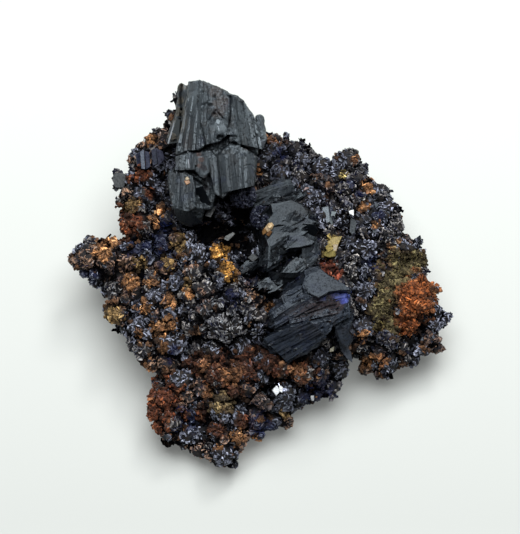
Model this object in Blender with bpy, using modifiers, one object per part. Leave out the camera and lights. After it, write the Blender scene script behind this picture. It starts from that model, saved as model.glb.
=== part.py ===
"""Azurite on iron-stained matrix: a palm-sized mineral specimen.

A lumpy matrix carries a crust of small fused crystals and three groups of large azurite
crystals: a thick striated trunk, a fan of flat blades and a sheaf. The matrix rests on a
flat cut at z = 0. Lengths below are millimetres; the scene is in metres.

Most places are given as seen from the display side, which looks down on the specimen from
DISPLAY_ELEVATION above the table: (across, up, height) is how far right and how far up a
point shows from there, and how high it is above the table.
"""

import math
import random

import bmesh
import bpy
from mathutils import Matrix, Vector
from mathutils.bvhtree import BVHTree

MM = 0.001
DISPLAY_ELEVATION = math.radians(58)
TOWARDS_VIEWER = Vector((0, -math.cos(DISPLAY_ELEVATION), math.sin(DISPLAY_ELEVATION)))

MATRIX_TRIANGLES = 3500
VOXEL = 0.7  # size of the cells that melt the lumps together
SEAT_GAP = 0.3  # clearance between a large crystal and the matrix under it
SEAT_VOXEL = 0.5  # cell size of the shape that one crystal cuts out of its neighbour
LUMP_UNEVENNESS = 0.9
SKIRT = 12.0  # how far the cutting slab below the table reaches past the specimen

# Large buried masses, then knobs: (across, up, height, radius).
CORE = [
    (-2.0, -4.0, 5.5, 9.0),
    (6.0, 1.5, 6.0, 8.5),
    (-8.0, 6.0, 6.5, 8.0),
    (12.5, -4.0, 5.0, 7.5),
    (12.5, 7.5, 6.5, 6.8),
    (-8.5, -10.0, 4.5, 6.5),
    (-4.5, -18.0, 3.5, 4.8),
    (19.0, -5.5, 4.0, 5.0),
    (-14.5, 0.5, 6.5, 5.5),
    (-4.5, 14.0, 10.0, 7.0),
    (-6.0, 18.5, 14.0, 5.2),
    (-5.0, 13.0, 6.0, 8.0),
    (4.5, 10.5, 7.0, 7.0),
    (6.0, -11.5, 4.0, 6.2),
    (-8.0, -15.5, 4.0, 5.2),
    (0.8, -15.5, 3.6, 4.6),
    (1.0, 1.0, 2.0, 8.5),
    (-2.5, -14.5, 2.0, 4.8),
    (7.0, -7.5, 1.5, 5.0),
]
UPPER_LEFT_FLANK = [
    (-10.3, 25.0, 20.5, 0.9),
    (-10.8, 23.2, 19.5, 1.1),
    (-11.5, 21.0, 18.0, 1.5),
    (-12.5, 18.5, 16.0, 2.2),
    (-14.8, 17.0, 13.0, 2.0),
    (-16.8, 16.0, 12.0, 1.5),
    (-14.5, 14.0, 13.0, 2.8),
    (-18.2, 12.8, 10.0, 1.4),
    (-16.2, 10.0, 11.0, 3.1),
    (-16.8, 6.5, 10.0, 2.6),
    (-12.8, 6.5, 12.0, 3.0),
]
LEFT_KNOB = [
    (-22.5, 1.5, 8.5, 2.9),
    (-24.1, 2.0, 8.0, 2.3),
    (-20.8, 0.0, 8.5, 2.9),
    (-18.3, 2.0, 9.5, 2.8),
]
LEFT_EDGE = [
    (-18.8, -5.0, 8.0, 2.5),
    (-16.2, -8.5, 7.5, 2.3),
    (-14.0, -11.5, 7.0, 2.6),
    (-12.6, -14.8, 6.5, 2.0),
    (-12.6, -18.6, 5.0, 2.9),
    (-11.8, -21.4, 4.0, 2.2),
    (-9.5, -22.2, 3.5, 2.2),
]
FOOT = [
    (-4.8, -24.5, 3.5, 2.9),
    (-0.2, -21.4, 4.0, 2.4),
    (1.6, -18.6, 4.0, 3.0),
    (3.6, -19.6, 3.2, 1.8),
    (-3.0, -22.0, 4.0, 2.4),
    (4.8, -17.2, 4.0, 2.6),
    (8.7, -15.8, 4.5, 2.5),
    (11.5, -14.4, 5.0, 2.0),
]
RIGHT_WING = [
    (16.6, -12.6, 4.0, 2.5),
    (20.4, -11.2, 4.5, 2.7),
    (23.5, -9.8, 5.0, 2.1),
    (24.8, -7.0, 5.5, 1.9),
    (22.7, -5.6, 6.5, 2.5),
    (22.3, -2.5, 7.5, 2.8),
    (19.9, -4.0, 9.0, 3.4),
    (21.8, 1.4, 8.0, 2.0),
    (19.6, 4.4, 9.0, 2.3),
    (18.0, 6.8, 9.5, 2.2),
    (16.2, 9.8, 10.0, 2.0),
    (14.4, 12.6, 10.5, 1.6),
    (13.1, 15.2, 10.5, 2.4),
    (10.4, 15.0, 10.5, 1.8),
    (7.8, 14.6, 10.5, 2.2),
    (5.2, 16.0, 11.0, 2.2),
    (2.9, 17.8, 12.0, 2.0),
]
RIGHT_RIDGES = [
    (13.9, 10.8, 12.0, 2.5),
    (11.1, 11.5, 12.0, 2.2),
    (18.1, 2.4, 10.5, 2.8),
    (14.6, 5.2, 12.5, 2.8),
    (13.2, 2.4, 12.0, 2.2),
    (15.3, -1.1, 11.0, 2.5),
    (13.9, -4.0, 11.0, 2.4),
    (13.9, -6.0, 9.5, 2.8),
    (18.1, -8.8, 7.5, 2.8),
    (12.5, -10.2, 8.5, 2.2),
]
ROSETTE = [
    (-7.1, 0.6, 14.5, 3.8),
    (-4.0, -5.6, 13.5, 3.9),
    (-7.1, -7.0, 12.5, 3.1),
    (-12.3, -6.0, 10.5, 3.1),
    (-10.0, -2.5, 13.0, 2.8),
    (-1.3, -7.0, 12.5, 2.4),
    (-14.8, -4.0, 9.5, 2.3),
    (-12.7, -9.5, 9.5, 2.3),
    (-10.0, 3.8, 13.0, 2.0),
    (-4.3, -2.5, 15.0, 2.8),
]
LOWER_LEDGES = [
    (-4.3, -13.0, 9.0, 2.8),
    (-0.8, -12.3, 8.5, 2.8),
    (-7.8, -14.0, 8.0, 2.5),
    (2.7, -12.3, 8.0, 2.5),
    (-5.0, -18.0, 7.0, 2.4),
    (-1.5, -17.2, 6.5, 2.4),
    (-4.8, -20.7, 5.5, 2.0),
    (-8.5, -18.0, 6.5, 2.2),
    (6.2, -14.4, 7.5, 2.5),
    (9.7, -11.0, 9.0, 2.5),
]
# Hollows taken out of the rock: the deep one between the crystal groups, then the undercut
# below the rosette.
PITS = [
    (-3.2, 4.8, 14.0, 3.0),
    (-6.4, 5.4, 14.0, 2.2),
    (-0.8, 0.2, 14.0, 1.9),
    (-5.4, -10.4, 12.6, 1.8),
    (-2.4, -10.0, 12.4, 1.8),
    (0.4, -10.4, 11.6, 1.6),
]
NODULE_COUNT = 200
NODULE_RADIUS = (0.8, 1.6)

# A lath: foot and head as (across, up, height), then width, thickness, roll in degrees and
# the slope of its flat end, which is higher on the left where the slope is positive.
TRUNK_LATHS = [
    ((-11.2, 12.4, 17.6), (-8.5, 26.2, 24.6), 4.0, 6.0, -12, 0.1),
    ((-8.8, 11.8, 18.2), (-6.0, 25.2, 25.0), 3.8, 6.5, 0, 0.35),
    ((-6.0, 11.2, 18.4), (-3.6, 23.7, 24.4), 3.6, 6.5, 10, 0.2),
    ((-3.4, 11.6, 18.0), (-1.8, 21.4, 22.8), 3.4, 6.0, 22, 0.5),
    ((-1.0, 12.6, 16.5), (-0.2, 18.6, 20.4), 2.8, 5.5, 32, 0.7),
    ((0.6, 13.4, 14.5), (1.1, 16.8, 17.6), 2.0, 4.0, 38, 0.4),
    ((-10.6, 8.0, 15.8), (-9.9, 15.2, 20.2), 5.2, 6.0, -14, -0.2),
    ((-7.0, 9.4, 16.0), (-6.6, 15.6, 19.6), 4.0, 5.6, 4, 0.2),
    ((-2.6, 10.2, 16.8), (-2.3, 16.9, 20.6), 5.8, 6.6, 14, -0.2),
]
FAN_BLADES = [
    ((-2.0, 6.0, 13.0), (6.2, 12.8, 17.0), 1.4, 4.4, 35, 0.3),
    ((-1.4, 5.2, 13.0), (7.4, 11.4, 17.4), 1.6, 4.4, 28, -0.2),
    ((-1.6, 4.0, 13.5), (8.6, 8.6, 18.2), 5.6, 3.0, -10, 0.3),
    ((0.5, 4.4, 14.0), (7.4, 10.6, 18.2), 3.4, 3.0, -4, -0.4),
    ((-1.0, 2.2, 14.0), (8.4, 4.8, 18.0), 4.0, 4.0, -16, 0.5),
    ((0.0, 0.8, 13.0), (7.4, 2.8, 16.8), 2.8, 4.0, 14, -0.3),
    ((-0.4, -0.8, 12.5), (7.0, 1.2, 16.4), 2.4, 3.6, 28, 0.3),
    ((-0.8, -1.8, 12.5), (4.8, -0.4, 15.6), 2.2, 3.0, -20, -0.5),
]
SHEAF_LATHS = [
    ((1.6, -6.4, 12.5), (11.0, -0.6, 17.4), 3.8, 5.0, -12, 0.3),
    ((2.0, -7.8, 12.0), (12.0, -2.4, 16.8), 3.4, 5.4, 4, -0.2),
    ((2.4, -9.4, 11.0), (12.2, -4.4, 15.4), 3.4, 5.4, 18, 0.2),
    ((0.8, -9.8, 10.0), (10.2, -6.8, 14.0), 2.8, 4.8, 22, 0.4),
    ((2.4, -12.0, 9.0), (10.4, -7.6, 13.4), 3.4, 4.8, 30, -0.2),
    ((4.0, -1.8, 13.0), (9.8, 0.8, 16.6), 2.4, 3.6, -26, 0.4),
]
LATH_EDGE_SHARE = 0.22  # of the thickness, cut off each long edge of a lath

# Single crystals that stand out of the crust: the same five facts as a lath.
LOOSE_LATHS = [
    ((-12.4, 17.5, 16.0), (-11.4, 22.4, 19.8), 1.6, 2.6, 30, 0.3),
    ((-14.8, 14.6, 14.4), (-13.2, 17.2, 16.4), 2.4, 2.2, 0, 0.3),
    ((-16.6, 14.6, 13.4), (-15.0, 17.2, 15.4), 2.2, 2.2, 12, -0.3),
    ((-19.2, 12.0, 9.5), (-18.6, 13.4, 11.8), 2.4, 2.4, 20, 0.2),
    ((10.8, 6.0, 13.0), (13.2, 9.0, 16.0), 2.2, 2.0, 40, 0.3),
    ((14.4, -11.0, 7.5), (15.6, -8.0, 10.4), 2.2, 2.0, 30, -0.3),
    ((-1.0, -15.4, 8.0), (1.6, -14.4, 10.4), 2.0, 2.0, 10, 0.2),
    ((3.6, -14.4, 8.4), (4.4, -12.4, 10.6), 2.0, 1.8, -20, 0.4),
]
DRUSE_COUNT = 80
DRUSE_LENGTH = (2.0, 3.2)
DRUSE_WIDTH = (1.8, 3.0)
DRUSE_SUNK = 0.6  # of its length, the share of a crust crystal inside the rock
DRUSE_SIDES = 5
DRUSE_CLEARANCE = 2.8  # how far the crust's crystals stay from the large ones
DRUSE_LOWEST = 3.2

COLOURS = {
    "matrix": ((0.045, 0.030, 0.026), 0.6),
    "trunk_crystal": ((0.012, 0.018, 0.045), 0.25),
    "fan_crystal": ((0.014, 0.018, 0.036), 0.22),
    "sheaf_crystal": ((0.012, 0.016, 0.050), 0.25),
}


def from_display(across, up, height):
    """The point that shows at (across, up) from the display side at this height."""
    back = (up - height * math.cos(DISPLAY_ELEVATION)) / math.sin(DISPLAY_ELEVATION)
    return Vector((across, back, height)) * MM


def clear_scene():
    for obj in list(bpy.data.objects):
        bpy.data.objects.remove(obj, do_unlink=True)


def new_collection(name, shown):
    group = bpy.data.collections.new(name)
    group.hide_render = not shown
    bpy.context.scene.collection.children.link(group)
    return group


def add_object(name, mesh, group, helper=False):
    obj = bpy.data.objects.new(name, mesh)
    group.objects.link(obj)
    if helper:
        obj.hide_render = True
        obj.display_type = "WIRE"
    return obj


def mesh_of(bm, name):
    mesh = bpy.data.meshes.new(name)
    bm.to_mesh(mesh)
    bm.free()
    return mesh


def bake_modifiers(obj):
    """Replaces the object's mesh by what its modifiers make of it."""
    bpy.context.view_layer.update()
    graph = bpy.context.evaluated_depsgraph_get()
    made = bpy.data.meshes.new_from_object(obj.evaluated_get(graph))
    obj.modifiers.clear()
    obj.data = made
    return obj


def surface_tree(obj):
    bm = bmesh.new()
    bm.from_mesh(obj.data)
    bmesh.ops.triangulate(bm, faces=bm.faces[:])
    tree = BVHTree.FromBMesh(bm)
    bm.free()
    return tree


def add_lump(bm, centre, radius, detail=2):
    bmesh.ops.create_icosphere(
        bm, subdivisions=detail, radius=radius * MM, matrix=Matrix.Translation(centre)
    )


def melt(obj, voxel):
    """Joins overlapping lumps into one closed skin."""
    remesh = obj.modifiers.new("melt", "REMESH")
    remesh.mode = "VOXEL"
    remesh.voxel_size = voxel * MM
    return bake_modifiers(obj)


def spread_points(obj, count, seed):
    """Points and outward normals spread over the skin, larger faces taking more."""
    chance = random.Random(seed)
    faces = list(obj.data.polygons)
    picked = chance.choices(faces, weights=[f.area for f in faces], k=count)
    return [(f.center.copy(), f.normal.copy()) for f in picked]


def unevenness_texture():
    texture = bpy.data.textures.new("unevenness", "VORONOI")
    texture.distance_metric = "DISTANCE"
    texture.noise_scale = 4.2 * MM
    return texture


def cut_flat(obj, helpers):
    """Takes away everything below the table."""
    bm = bmesh.new()
    bmesh.ops.create_cube(bm, size=2)
    half = (30 + SKIRT) * MM
    bmesh.ops.scale(bm, vec=(half, half, SKIRT * MM / 2), verts=bm.verts[:])
    bmesh.ops.translate(bm, vec=(0, 0, -SKIRT * MM / 2), verts=bm.verts[:])
    slab = add_object("below_table", mesh_of(bm, "below_table"), helpers, helper=True)
    cut = obj.modifiers.new("flat_cut", "BOOLEAN")
    cut.operation = "DIFFERENCE"
    cut.object = slab
    return bake_modifiers(obj)


def lumps_mesh(lumps, name):
    bm = bmesh.new()
    for across, up, height, radius in lumps:
        add_lump(bm, from_display(across, up, height), radius, 3 if radius > 5 else 2)
    return mesh_of(bm, name)


def build_rock(helpers):
    """The matrix without its crust: lumps melted together, roughened and cut flat."""
    lumps = (
        CORE + UPPER_LEFT_FLANK + LEFT_KNOB + LEFT_EDGE + FOOT + RIGHT_WING
        + RIGHT_RIDGES + ROSETTE + LOWER_LEDGES
    )
    rock = melt(add_object("rock", lumps_mesh(lumps, "rock"), helpers, helper=True), VOXEL)

    bm = bmesh.new()
    bm.from_mesh(rock.data)
    chance = random.Random(7)
    for point, _ in spread_points(rock, NODULE_COUNT, seed=3):
        add_lump(bm, point, chance.uniform(*NODULE_RADIUS))
    rock.data = mesh_of(bm, "rock")
    melt(rock, VOXEL)

    pits = add_object("pits", lumps_mesh(PITS, "pits"), helpers, helper=True)
    hollow = rock.modifiers.new("pits", "BOOLEAN")
    hollow.operation = "DIFFERENCE"
    hollow.object = melt(pits, VOXEL)
    melt(rock, VOXEL)

    rough = rock.modifiers.new("unevenness", "DISPLACE")
    rough.texture = unevenness_texture()
    rough.texture_coords = "LOCAL"
    rough.strength = LUMP_UNEVENNESS * MM
    rough.mid_level = 0.5
    thin = rock.modifiers.new("thin", "DECIMATE")
    thin.ratio = MATRIX_TRIANGLES / (2 * len(rock.data.polygons))
    bake_modifiers(rock)
    return cut_flat(rock, helpers)


def lath_mesh(bm, foot, head, width, thickness, roll, tip_slope):
    """Adds a flat prism with bevelled long edges and a slanting end, foot to head."""
    along = head - foot
    length = along.length
    prism = bmesh.ops.create_cube(bm, size=1)["verts"]
    bmesh.ops.scale(bm, vec=(width * MM, thickness * MM, length), verts=prism)
    bmesh.ops.translate(bm, vec=(0, 0, length / 2), verts=prism)
    long_edges = [
        e for e in {e for v in prism for e in v.link_edges}
        if abs(e.verts[0].co.z - e.verts[1].co.z) > length / 2
    ]
    narrow = min(width, thickness) * LATH_EDGE_SHARE * MM
    bevelled = bmesh.ops.bevel(bm, geom=long_edges, offset=narrow, segments=1, affect="EDGES")
    prism = list({v for f in bevelled["faces"] for v in f.verts} | {v for v in prism if v.is_valid})
    for v in prism:
        if v.co.z > length / 2:
            v.co.z += (v.co.x + 0.6 * v.co.y) * tip_slope
        else:
            v.co.x *= 0.82
    bmesh.ops.transform(bm, matrix=lie_along(foot, head, roll), verts=prism)


def lie_along(foot, head, roll):
    """The frame at foot whose Z runs to head, with Y towards the display side, turned by roll."""
    z_axis = (head - foot).normalized()
    y_axis = (TOWARDS_VIEWER - z_axis * TOWARDS_VIEWER.dot(z_axis)).normalized()
    y_axis.rotate(Matrix.Rotation(math.radians(roll), 3, z_axis))
    x_axis = y_axis.cross(z_axis)
    return Matrix.Translation(foot) @ Matrix((x_axis, y_axis, z_axis)).transposed().to_4x4()


def druse_crystal(bm, foot, head, width, roll):
    """Adds one small flattened crystal that narrows to a blunt end."""
    length = (head - foot).length
    rise = Matrix.Translation((0, 0, length / 2))
    flat = Matrix.Diagonal((1, 0.6, 1, 1))
    bmesh.ops.create_cone(
        bm, cap_ends=True, segments=DRUSE_SIDES, depth=length,
        radius1=width / 2 * MM, radius2=width / 3 * MM,
        matrix=lie_along(foot, head, roll) @ flat @ rise,
    )


def joined_laths(name, laths, helpers):
    """Laths grown into one another, as one closed solid."""
    grown = None
    for foot, head, width, thickness, roll, slope in laths:
        bm = bmesh.new()
        lath_mesh(bm, from_display(*foot), from_display(*head), width, thickness, roll, slope)
        lath = add_object(f"{name}_lath", mesh_of(bm, name), helpers, helper=True)
        if grown is None:
            grown = lath
            continue
        join = grown.modifiers.new("grow", "BOOLEAN")
        join.operation = "UNION"
        join.object = lath
        bake_modifiers(grown)
    return grown


def keep_largest_body(obj):
    """Drops the scraps that a cut leaves, keeping the body with the most faces."""
    bm = bmesh.new()
    bm.from_mesh(obj.data)
    unseen = set(bm.faces)
    bodies = []
    while unseen:
        body = {unseen.pop()}
        edge = list(body)
        while edge:
            near = {g for f in edge for e in f.edges for g in e.link_faces} & unseen
            unseen -= near
            body |= near
            edge = list(near)
        bodies.append(body)
    bodies.sort(key=len)
    scraps = [f for body in bodies[:-1] for f in body]
    bmesh.ops.delete(bm, geom=scraps, context="FACES")
    bm.to_mesh(obj.data)
    bm.free()
    return obj


def swollen_copy(obj, helpers, gap, voxel):
    """A closed helper that stands out from obj by the gap on every side."""
    swollen = add_object(f"{obj.name}_swollen", obj.data.copy(), helpers, helper=True)
    swell = swollen.modifiers.new("gap", "DISPLACE")
    swell.strength = gap * MM
    swell.mid_level = 0
    return melt(swollen, voxel)


def cut_away(obj, cutter):
    cut = obj.modifiers.new("seat", "BOOLEAN")
    cut.operation = "DIFFERENCE"
    cut.object = cutter
    cut.use_self = True
    bake_modifiers(obj)


def seated(name, laths, rock, neighbours, helpers, part):
    """A crystal group that follows the rock and its neighbours a small gap away."""
    grown = joined_laths(name, laths, helpers)
    cut_away(grown, swollen_copy(rock, helpers, SEAT_GAP + VOXEL / 5, 1.3 * VOXEL))
    for neighbour in neighbours:
        cut_away(grown, swollen_copy(neighbour, helpers, SEAT_GAP, SEAT_VOXEL))
    keep_largest_body(grown)
    return finish(add_object(name, grown.data, part))


def druse_mesh(rock, large):
    """The crust's crystals: short laths at many angles, rooted in the rock."""
    trees = [surface_tree(obj) for obj in large]
    chance = random.Random(11)
    bm = bmesh.new()
    placed = 0
    for point, normal in spread_points(rock, DRUSE_COUNT * 3, seed=5):
        too_near = any(t.find_nearest(point, DRUSE_CLEARANCE * MM)[0] for t in trees)
        if placed == DRUSE_COUNT or too_near or point.z < DRUSE_LOWEST * MM:
            continue
        tilt = Vector([chance.uniform(-0.6, 0.6) for _ in range(3)])
        out = (normal + tilt).normalized()
        length = chance.uniform(*DRUSE_LENGTH) * MM
        foot = point - out * length * DRUSE_SUNK
        head = point + out * length * (1 - DRUSE_SUNK)
        druse_crystal(bm, foot, head, chance.uniform(*DRUSE_WIDTH), chance.uniform(0, 180))
        placed += 1
    for foot, head, width, thickness, roll, slope in LOOSE_LATHS:
        lath_mesh(bm, from_display(*foot), from_display(*head), width, thickness, roll, slope)
    return mesh_of(bm, "druse")


def build_matrix(rock, large, helpers, part):
    druse = add_object("druse", druse_mesh(rock, large), helpers, helper=True)
    for crystal in large:
        cut_away(druse, swollen_copy(crystal, helpers, SEAT_GAP, SEAT_VOXEL))
    matrix = add_object("matrix", rock.data.copy(), part)
    join = matrix.modifiers.new("crust", "BOOLEAN")
    join.operation = "UNION"
    join.object = druse
    join.use_self = True
    bake_modifiers(matrix)
    return finish(keep_largest_body(matrix))


def finish(obj):
    """Flat faces and the piece's own material."""
    colour, roughness = COLOURS[obj.name]
    material = bpy.data.materials.new(obj.name)
    material.use_nodes = True
    shader = material.node_tree.nodes["Principled BSDF"]
    shader.inputs["Base Color"].default_value = (*colour, 1)
    shader.inputs["Roughness"].default_value = roughness
    shader.inputs["Metallic"].default_value = 0
    obj.data.materials.clear()
    obj.data.materials.append(material)
    obj.data.shade_flat()
    return obj


def main():
    clear_scene()
    part = new_collection("azurite_specimen", shown=True)
    helpers = new_collection("cutters", shown=False)
    rock = build_rock(helpers)
    trunk = seated("trunk_crystal", TRUNK_LATHS, rock, [], helpers, part)
    fan = seated("fan_crystal", FAN_BLADES, rock, [trunk], helpers, part)
    sheaf = seated("sheaf_crystal", SHEAF_LATHS, rock, [fan], helpers, part)
    build_matrix(rock, [trunk, fan, sheaf], helpers, part)


main()
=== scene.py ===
"""Azurite on iron-stained rock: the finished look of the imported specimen, and its studio.

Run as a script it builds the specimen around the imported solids. Lengths are millimetres
until they reach a mesh. Most places are (across, up, height): how far right and how far up
a point shows from the display side, and how high it is above the table.
"""

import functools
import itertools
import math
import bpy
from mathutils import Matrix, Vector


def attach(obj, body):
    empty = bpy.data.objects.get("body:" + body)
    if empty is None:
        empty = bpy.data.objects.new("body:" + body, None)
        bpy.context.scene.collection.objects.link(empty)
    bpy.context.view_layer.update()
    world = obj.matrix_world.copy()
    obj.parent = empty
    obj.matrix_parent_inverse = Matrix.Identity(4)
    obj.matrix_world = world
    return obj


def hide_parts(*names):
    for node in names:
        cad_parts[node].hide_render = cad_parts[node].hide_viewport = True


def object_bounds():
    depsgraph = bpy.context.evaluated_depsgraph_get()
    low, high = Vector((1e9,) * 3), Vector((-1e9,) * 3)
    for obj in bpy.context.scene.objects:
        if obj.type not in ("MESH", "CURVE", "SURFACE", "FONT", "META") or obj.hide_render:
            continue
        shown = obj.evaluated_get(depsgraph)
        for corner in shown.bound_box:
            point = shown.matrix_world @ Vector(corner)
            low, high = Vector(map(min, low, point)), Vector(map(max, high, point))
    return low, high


bl_info = {
    "name": "Azurite Specimen",
    "version": (1, 0, 0),
    "blender": (4, 5, 0),
    "location": "3D View > Sidebar > Specimen",
    "description": "Builds an azurite specimen: rock, crust, iron grains and large crystals",
    "category": "Object",
}

import bpy
import numpy as np
from mathutils import Vector
from mathutils.bvhtree import BVHTree
from mathutils.kdtree import KDTree

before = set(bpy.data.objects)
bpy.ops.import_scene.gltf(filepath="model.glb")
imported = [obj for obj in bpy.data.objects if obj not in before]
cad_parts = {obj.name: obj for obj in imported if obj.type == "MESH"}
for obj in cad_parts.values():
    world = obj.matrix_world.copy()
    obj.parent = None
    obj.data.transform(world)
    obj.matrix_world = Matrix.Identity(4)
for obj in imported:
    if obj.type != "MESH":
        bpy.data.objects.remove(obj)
CAD_BOX = [[float(c) for c in corner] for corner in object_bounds()]

MM = 0.001
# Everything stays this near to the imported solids' box, and above the table.
OVERHANG = 1.2
ROOM = [np.array(CAD_BOX[0]) / MM - OVERHANG, np.array(CAD_BOX[1]) / MM + OVERHANG]
ROOM[0][2] = 0.0
TABLE_GAP = 0.7

# The display side: how steeply the camera looks down, and the (across, up) it is aimed at.
ELEVATION = math.radians(58)
ACROSS = np.array((1.0, 0.0, 0.0))
UP = np.array((0.0, math.sin(ELEVATION), math.cos(ELEVATION)))
TOWARDS_VIEWER = np.array((0.0, -math.cos(ELEVATION), math.sin(ELEVATION)))
AIM = (0.56, 0.70)
IMAGE_ROWS = 534
MM_PER_ROW = 0.14

LARGE_CRYSTALS = ("trunk_crystal", "fan_crystal", "sheaf_crystal")

# The seed of each chance pattern.
SEEDS = {
    "lumps": 17, "crust": 21, "lump_tones": 22, "grains": 33, "loose": 55, "blades": 71,
    "balls": 77, "trunk_blocks": 41, "trunk_lines": 42, "fan_blocks": 43, "fan_plates": 44,
    "fan_lines": 45, "sheaf_blocks": 47, "sheaf_plates": 48, "sheaf_lines": 49,
}

# ---------------------------------------------------------------- zones, each (across, up, radius)
ORANGE = [
    (-14.4, 18.5, 1.0), (-13.4, 8.4, 0.9), (-14.1, 6.6, 0.9), (-20.2, 4.6, 1.1), (-17.6, -1.1, 1.4),
    (-14.4, -1.5, 1.0), (-15.5, -5.0, 1.2), (-12.0, -3.9, 1.2), (-13.4, -7.8, 1.4),
    (-11.8, -7.2, 1.2), (-16.2, -8.8, 0.9), (-21.4, 2.8, 1.4), (-12.6, -10.6, 0.8),
    (-9.4, -3.0, 0.8), (0.3, 14.0, 0.7), (-9.7, 12.6, 0.7), (15.3, 11.9, 1.1), (14.9, 9.3, 1.0),
    (16.6, 6.4, 0.6), (14.6, -8.8, 1.0), (15.7, -12.3, 1.2), (3.4, -10.7, 0.9), (-2.6, -22.9, 1.4),
    (-5.1, -24.2, 0.6), (-7.6, 9.6, 0.5), (1.8, -4.6, 0.9), (-0.2, -22.7, 0.6),
]
GOLD = [(-4.9, 2.8, 1.5), (-4.2, 0.4, 1.1), (-3.5, -0.8, 0.9), (1.7, 6.2, 0.8)]
OCHRE = [
    (-17.4, 9.1, 1.2), (-10.4, 4.1, 1.4), (-16.5, 1.4, 1.3), (-20.0, -6.0, 1.5), (-12.0, 1.3, 1.2),
    (3.9, -19.6, 0.9), (-9.5, -1.5, 0.8),
]
YELLOW = [(10.9, 4.3, 1.0), (9.8, 2.8, 0.9), (17.4, -7.5, 1.0), (12.2, 13.6, 0.7)]
RUST = [
    (-16.2, 13.7, 1.6), (-17.6, 7.4, 2.6), (-18.6, 6.0, 2.2), (-12.7, -17.9, 3.4),
    (-14.1, -20.2, 2.6), (10.3, 0.5, 1.6), (-14.6, 11.0, 0.9), (-1.4, 17.2, 1.0),
]
BROWN = [
    (-1.5, -13.2, 2.9), (-5.4, -13.6, 2.8), (5.8, -13.6, 2.6), (-8.6, -12.6, 1.8),
    (2.4, -12.8, 2.4), (-7.6, -19.6, 1.6), (-3.4, -16.2, 1.8), (-2.0, -20.6, 1.0),
    (-5.3, -21.9, 1.3),
]
RED = [(10.3, 0.7, 1.5), (11.2, -0.2, 0.8)]
TAN = [
    (-3.4, -14.2, 1.7), (-6.6, -17.0, 1.2), (5.8, -13.8, 1.6), (-7.0, -13.0, 1.2),
    (17.4, -12.2, 1.0), (13.7, 15.7, 0.6), (2.2, 18.4, 0.7),
]
LIMONITE_CORE = [(21.8, -4.4, 2.9), (22.6, -2.2, 2.3), (21.0, -7.0, 1.9)]
LIMONITE_RIM = [
    (18.9, -2.0, 3.2), (20.6, 0.4, 2.8), (18.0, -4.8, 2.7), (19.2, -7.2, 2.0), (20.4, -1.4, 2.0),
    (22.2, 1.4, 1.7),
]
OLIVE = [(-5.0, -17.9, 2.0)]
EARTHY = LIMONITE_CORE + LIMONITE_RIM + GOLD + YELLOW
VIVID_BLUE = [(-23.0, -0.4, 1.4), (12.3, -3.2, 1.2)]
NAVY = [
    (-13.4, 3.6, 2.4), (-12.9, 6.2, 1.7), (-16.8, 3.2, 1.8), (-12.8, 1.6, 1.4), (-9.4, -20.2, 2.2),
    (-12.0, -11.5, 1.6), (0.6, -21.0, 2.2), (8.4, -16.4, 2.4), (-3.4, -3.4, 1.6), (7.4, -17.0, 1.6),
    (3.6, 16.4, 1.1), (13.3, 12.4, 0.9), (14.3, 10.9, 0.7), (17.1, 8.4, 1.0), (16.4, 1.4, 1.3),
]
# Zones that lie deeper and in painted shade, have less dust and sheen, no crust, pale dust and
# sheen, grey dust and sheen, or painted glints.
HOLLOW = [
    (-3.0, 4.2, 2.9), (-6.2, 5.6, 2.2), (-0.6, 0.6, 2.0), (-6.9, 8.0, 1.6), (-1.6, 7.4, 2.0),
    (1.0, 2.4, 1.2), (1.8, -0.6, 1.4), (8.5, 5.6, 1.1),
]
DIM = [
    (2.8, 16.2, 3.0), (9.4, 8.4, 1.6), (9.6, 13.4, 1.6), (12.5, 16.0, 2.6), (14.8, 14.0, 1.8),
    (17.6, 17.0, 1.5),
]
BARE = [(-12.8, 24.8, 2.5), (-12.0, 23.2, 1.2)]
PALE_DUST_AND_SHEEN = [(-10.6, 2.5, 2.4), (-7.6, -0.4, 2.8), (9.4, 6.6, 1.8)]
ROSETTE = [(-4.5, -6.5, 3.8)]
GLINT = [(2.7, -15.8, 0.7), (3.6, -16.6, 0.4)]
TRUNK_SMOOTH = [
    (-8.6, 25.4, 1.8), (-8.8, 23.0, 1.7), (-5.4, 20.0, 1.3), (-9.6, 15.4, 0.9), (-5.8, 13.6, 0.6),
    (-9.2, 20.6, 0.8),
]
# Zones where the trunk is painted paler, a painted sheen on its bright columns and round its
# glints.
TRUNK_PALE = [
    (-1.6, 22.0, 1.8), (-0.8, 19.4, 1.8), (-2.0, 18.8, 1.2), (-8.6, 25.0, 2.0), (0.9, 19.0, 1.4),
    (-9.4, 15.4, 0.8), (-5.2, 20.2, 1.0),
]
# Films on the large crystals: zones, colour, how much of the zone is covered.
TRUNK_FILMS = [
    ([(-10.6, 25.8, 0.9), (-10.4, 24.0, 0.8), (-10.9, 22.4, 0.8), (-11.3, 20.6, 0.9),
      (-11.6, 19.0, 0.8), (-10.0, 22.2, 0.6), (-10.3, 20.4, 0.6), (-10.2, 18.6, 0.7)],
      (0.085, 0.072, 0.052), 0.9),
    ([(-5.6, 25.2, 1.2), (-4.8, 23.6, 1.2), (-5.4, 22.0, 0.9), (-9.6, 17.8, 0.9)],
      (0.066, 0.046, 0.038), 0.55),
    ([(-8.0, 16.5, 0.5), (-7.6, 15.6, 0.45), (-7.9, 14.8, 0.4), (-10.4, 13.0, 0.4),
      (-1.2, 17.3, 0.4)], (0.1, 0.042, 0.026), 0.55),
    ([(-7.2, 14.4, 0.6), (-7.0, 13.0, 0.7), (-6.8, 11.6, 0.7)], (0.012, 0.008, 0.01), 1.0),
]
SHEAF_FILMS = [
    ([(8.6, -4.6, 1.6), (11.0, -4.4, 1.6), (6.0, -5.6, 1.2)], (0.050, 0.028, 0.026), 0.8),
]

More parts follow.
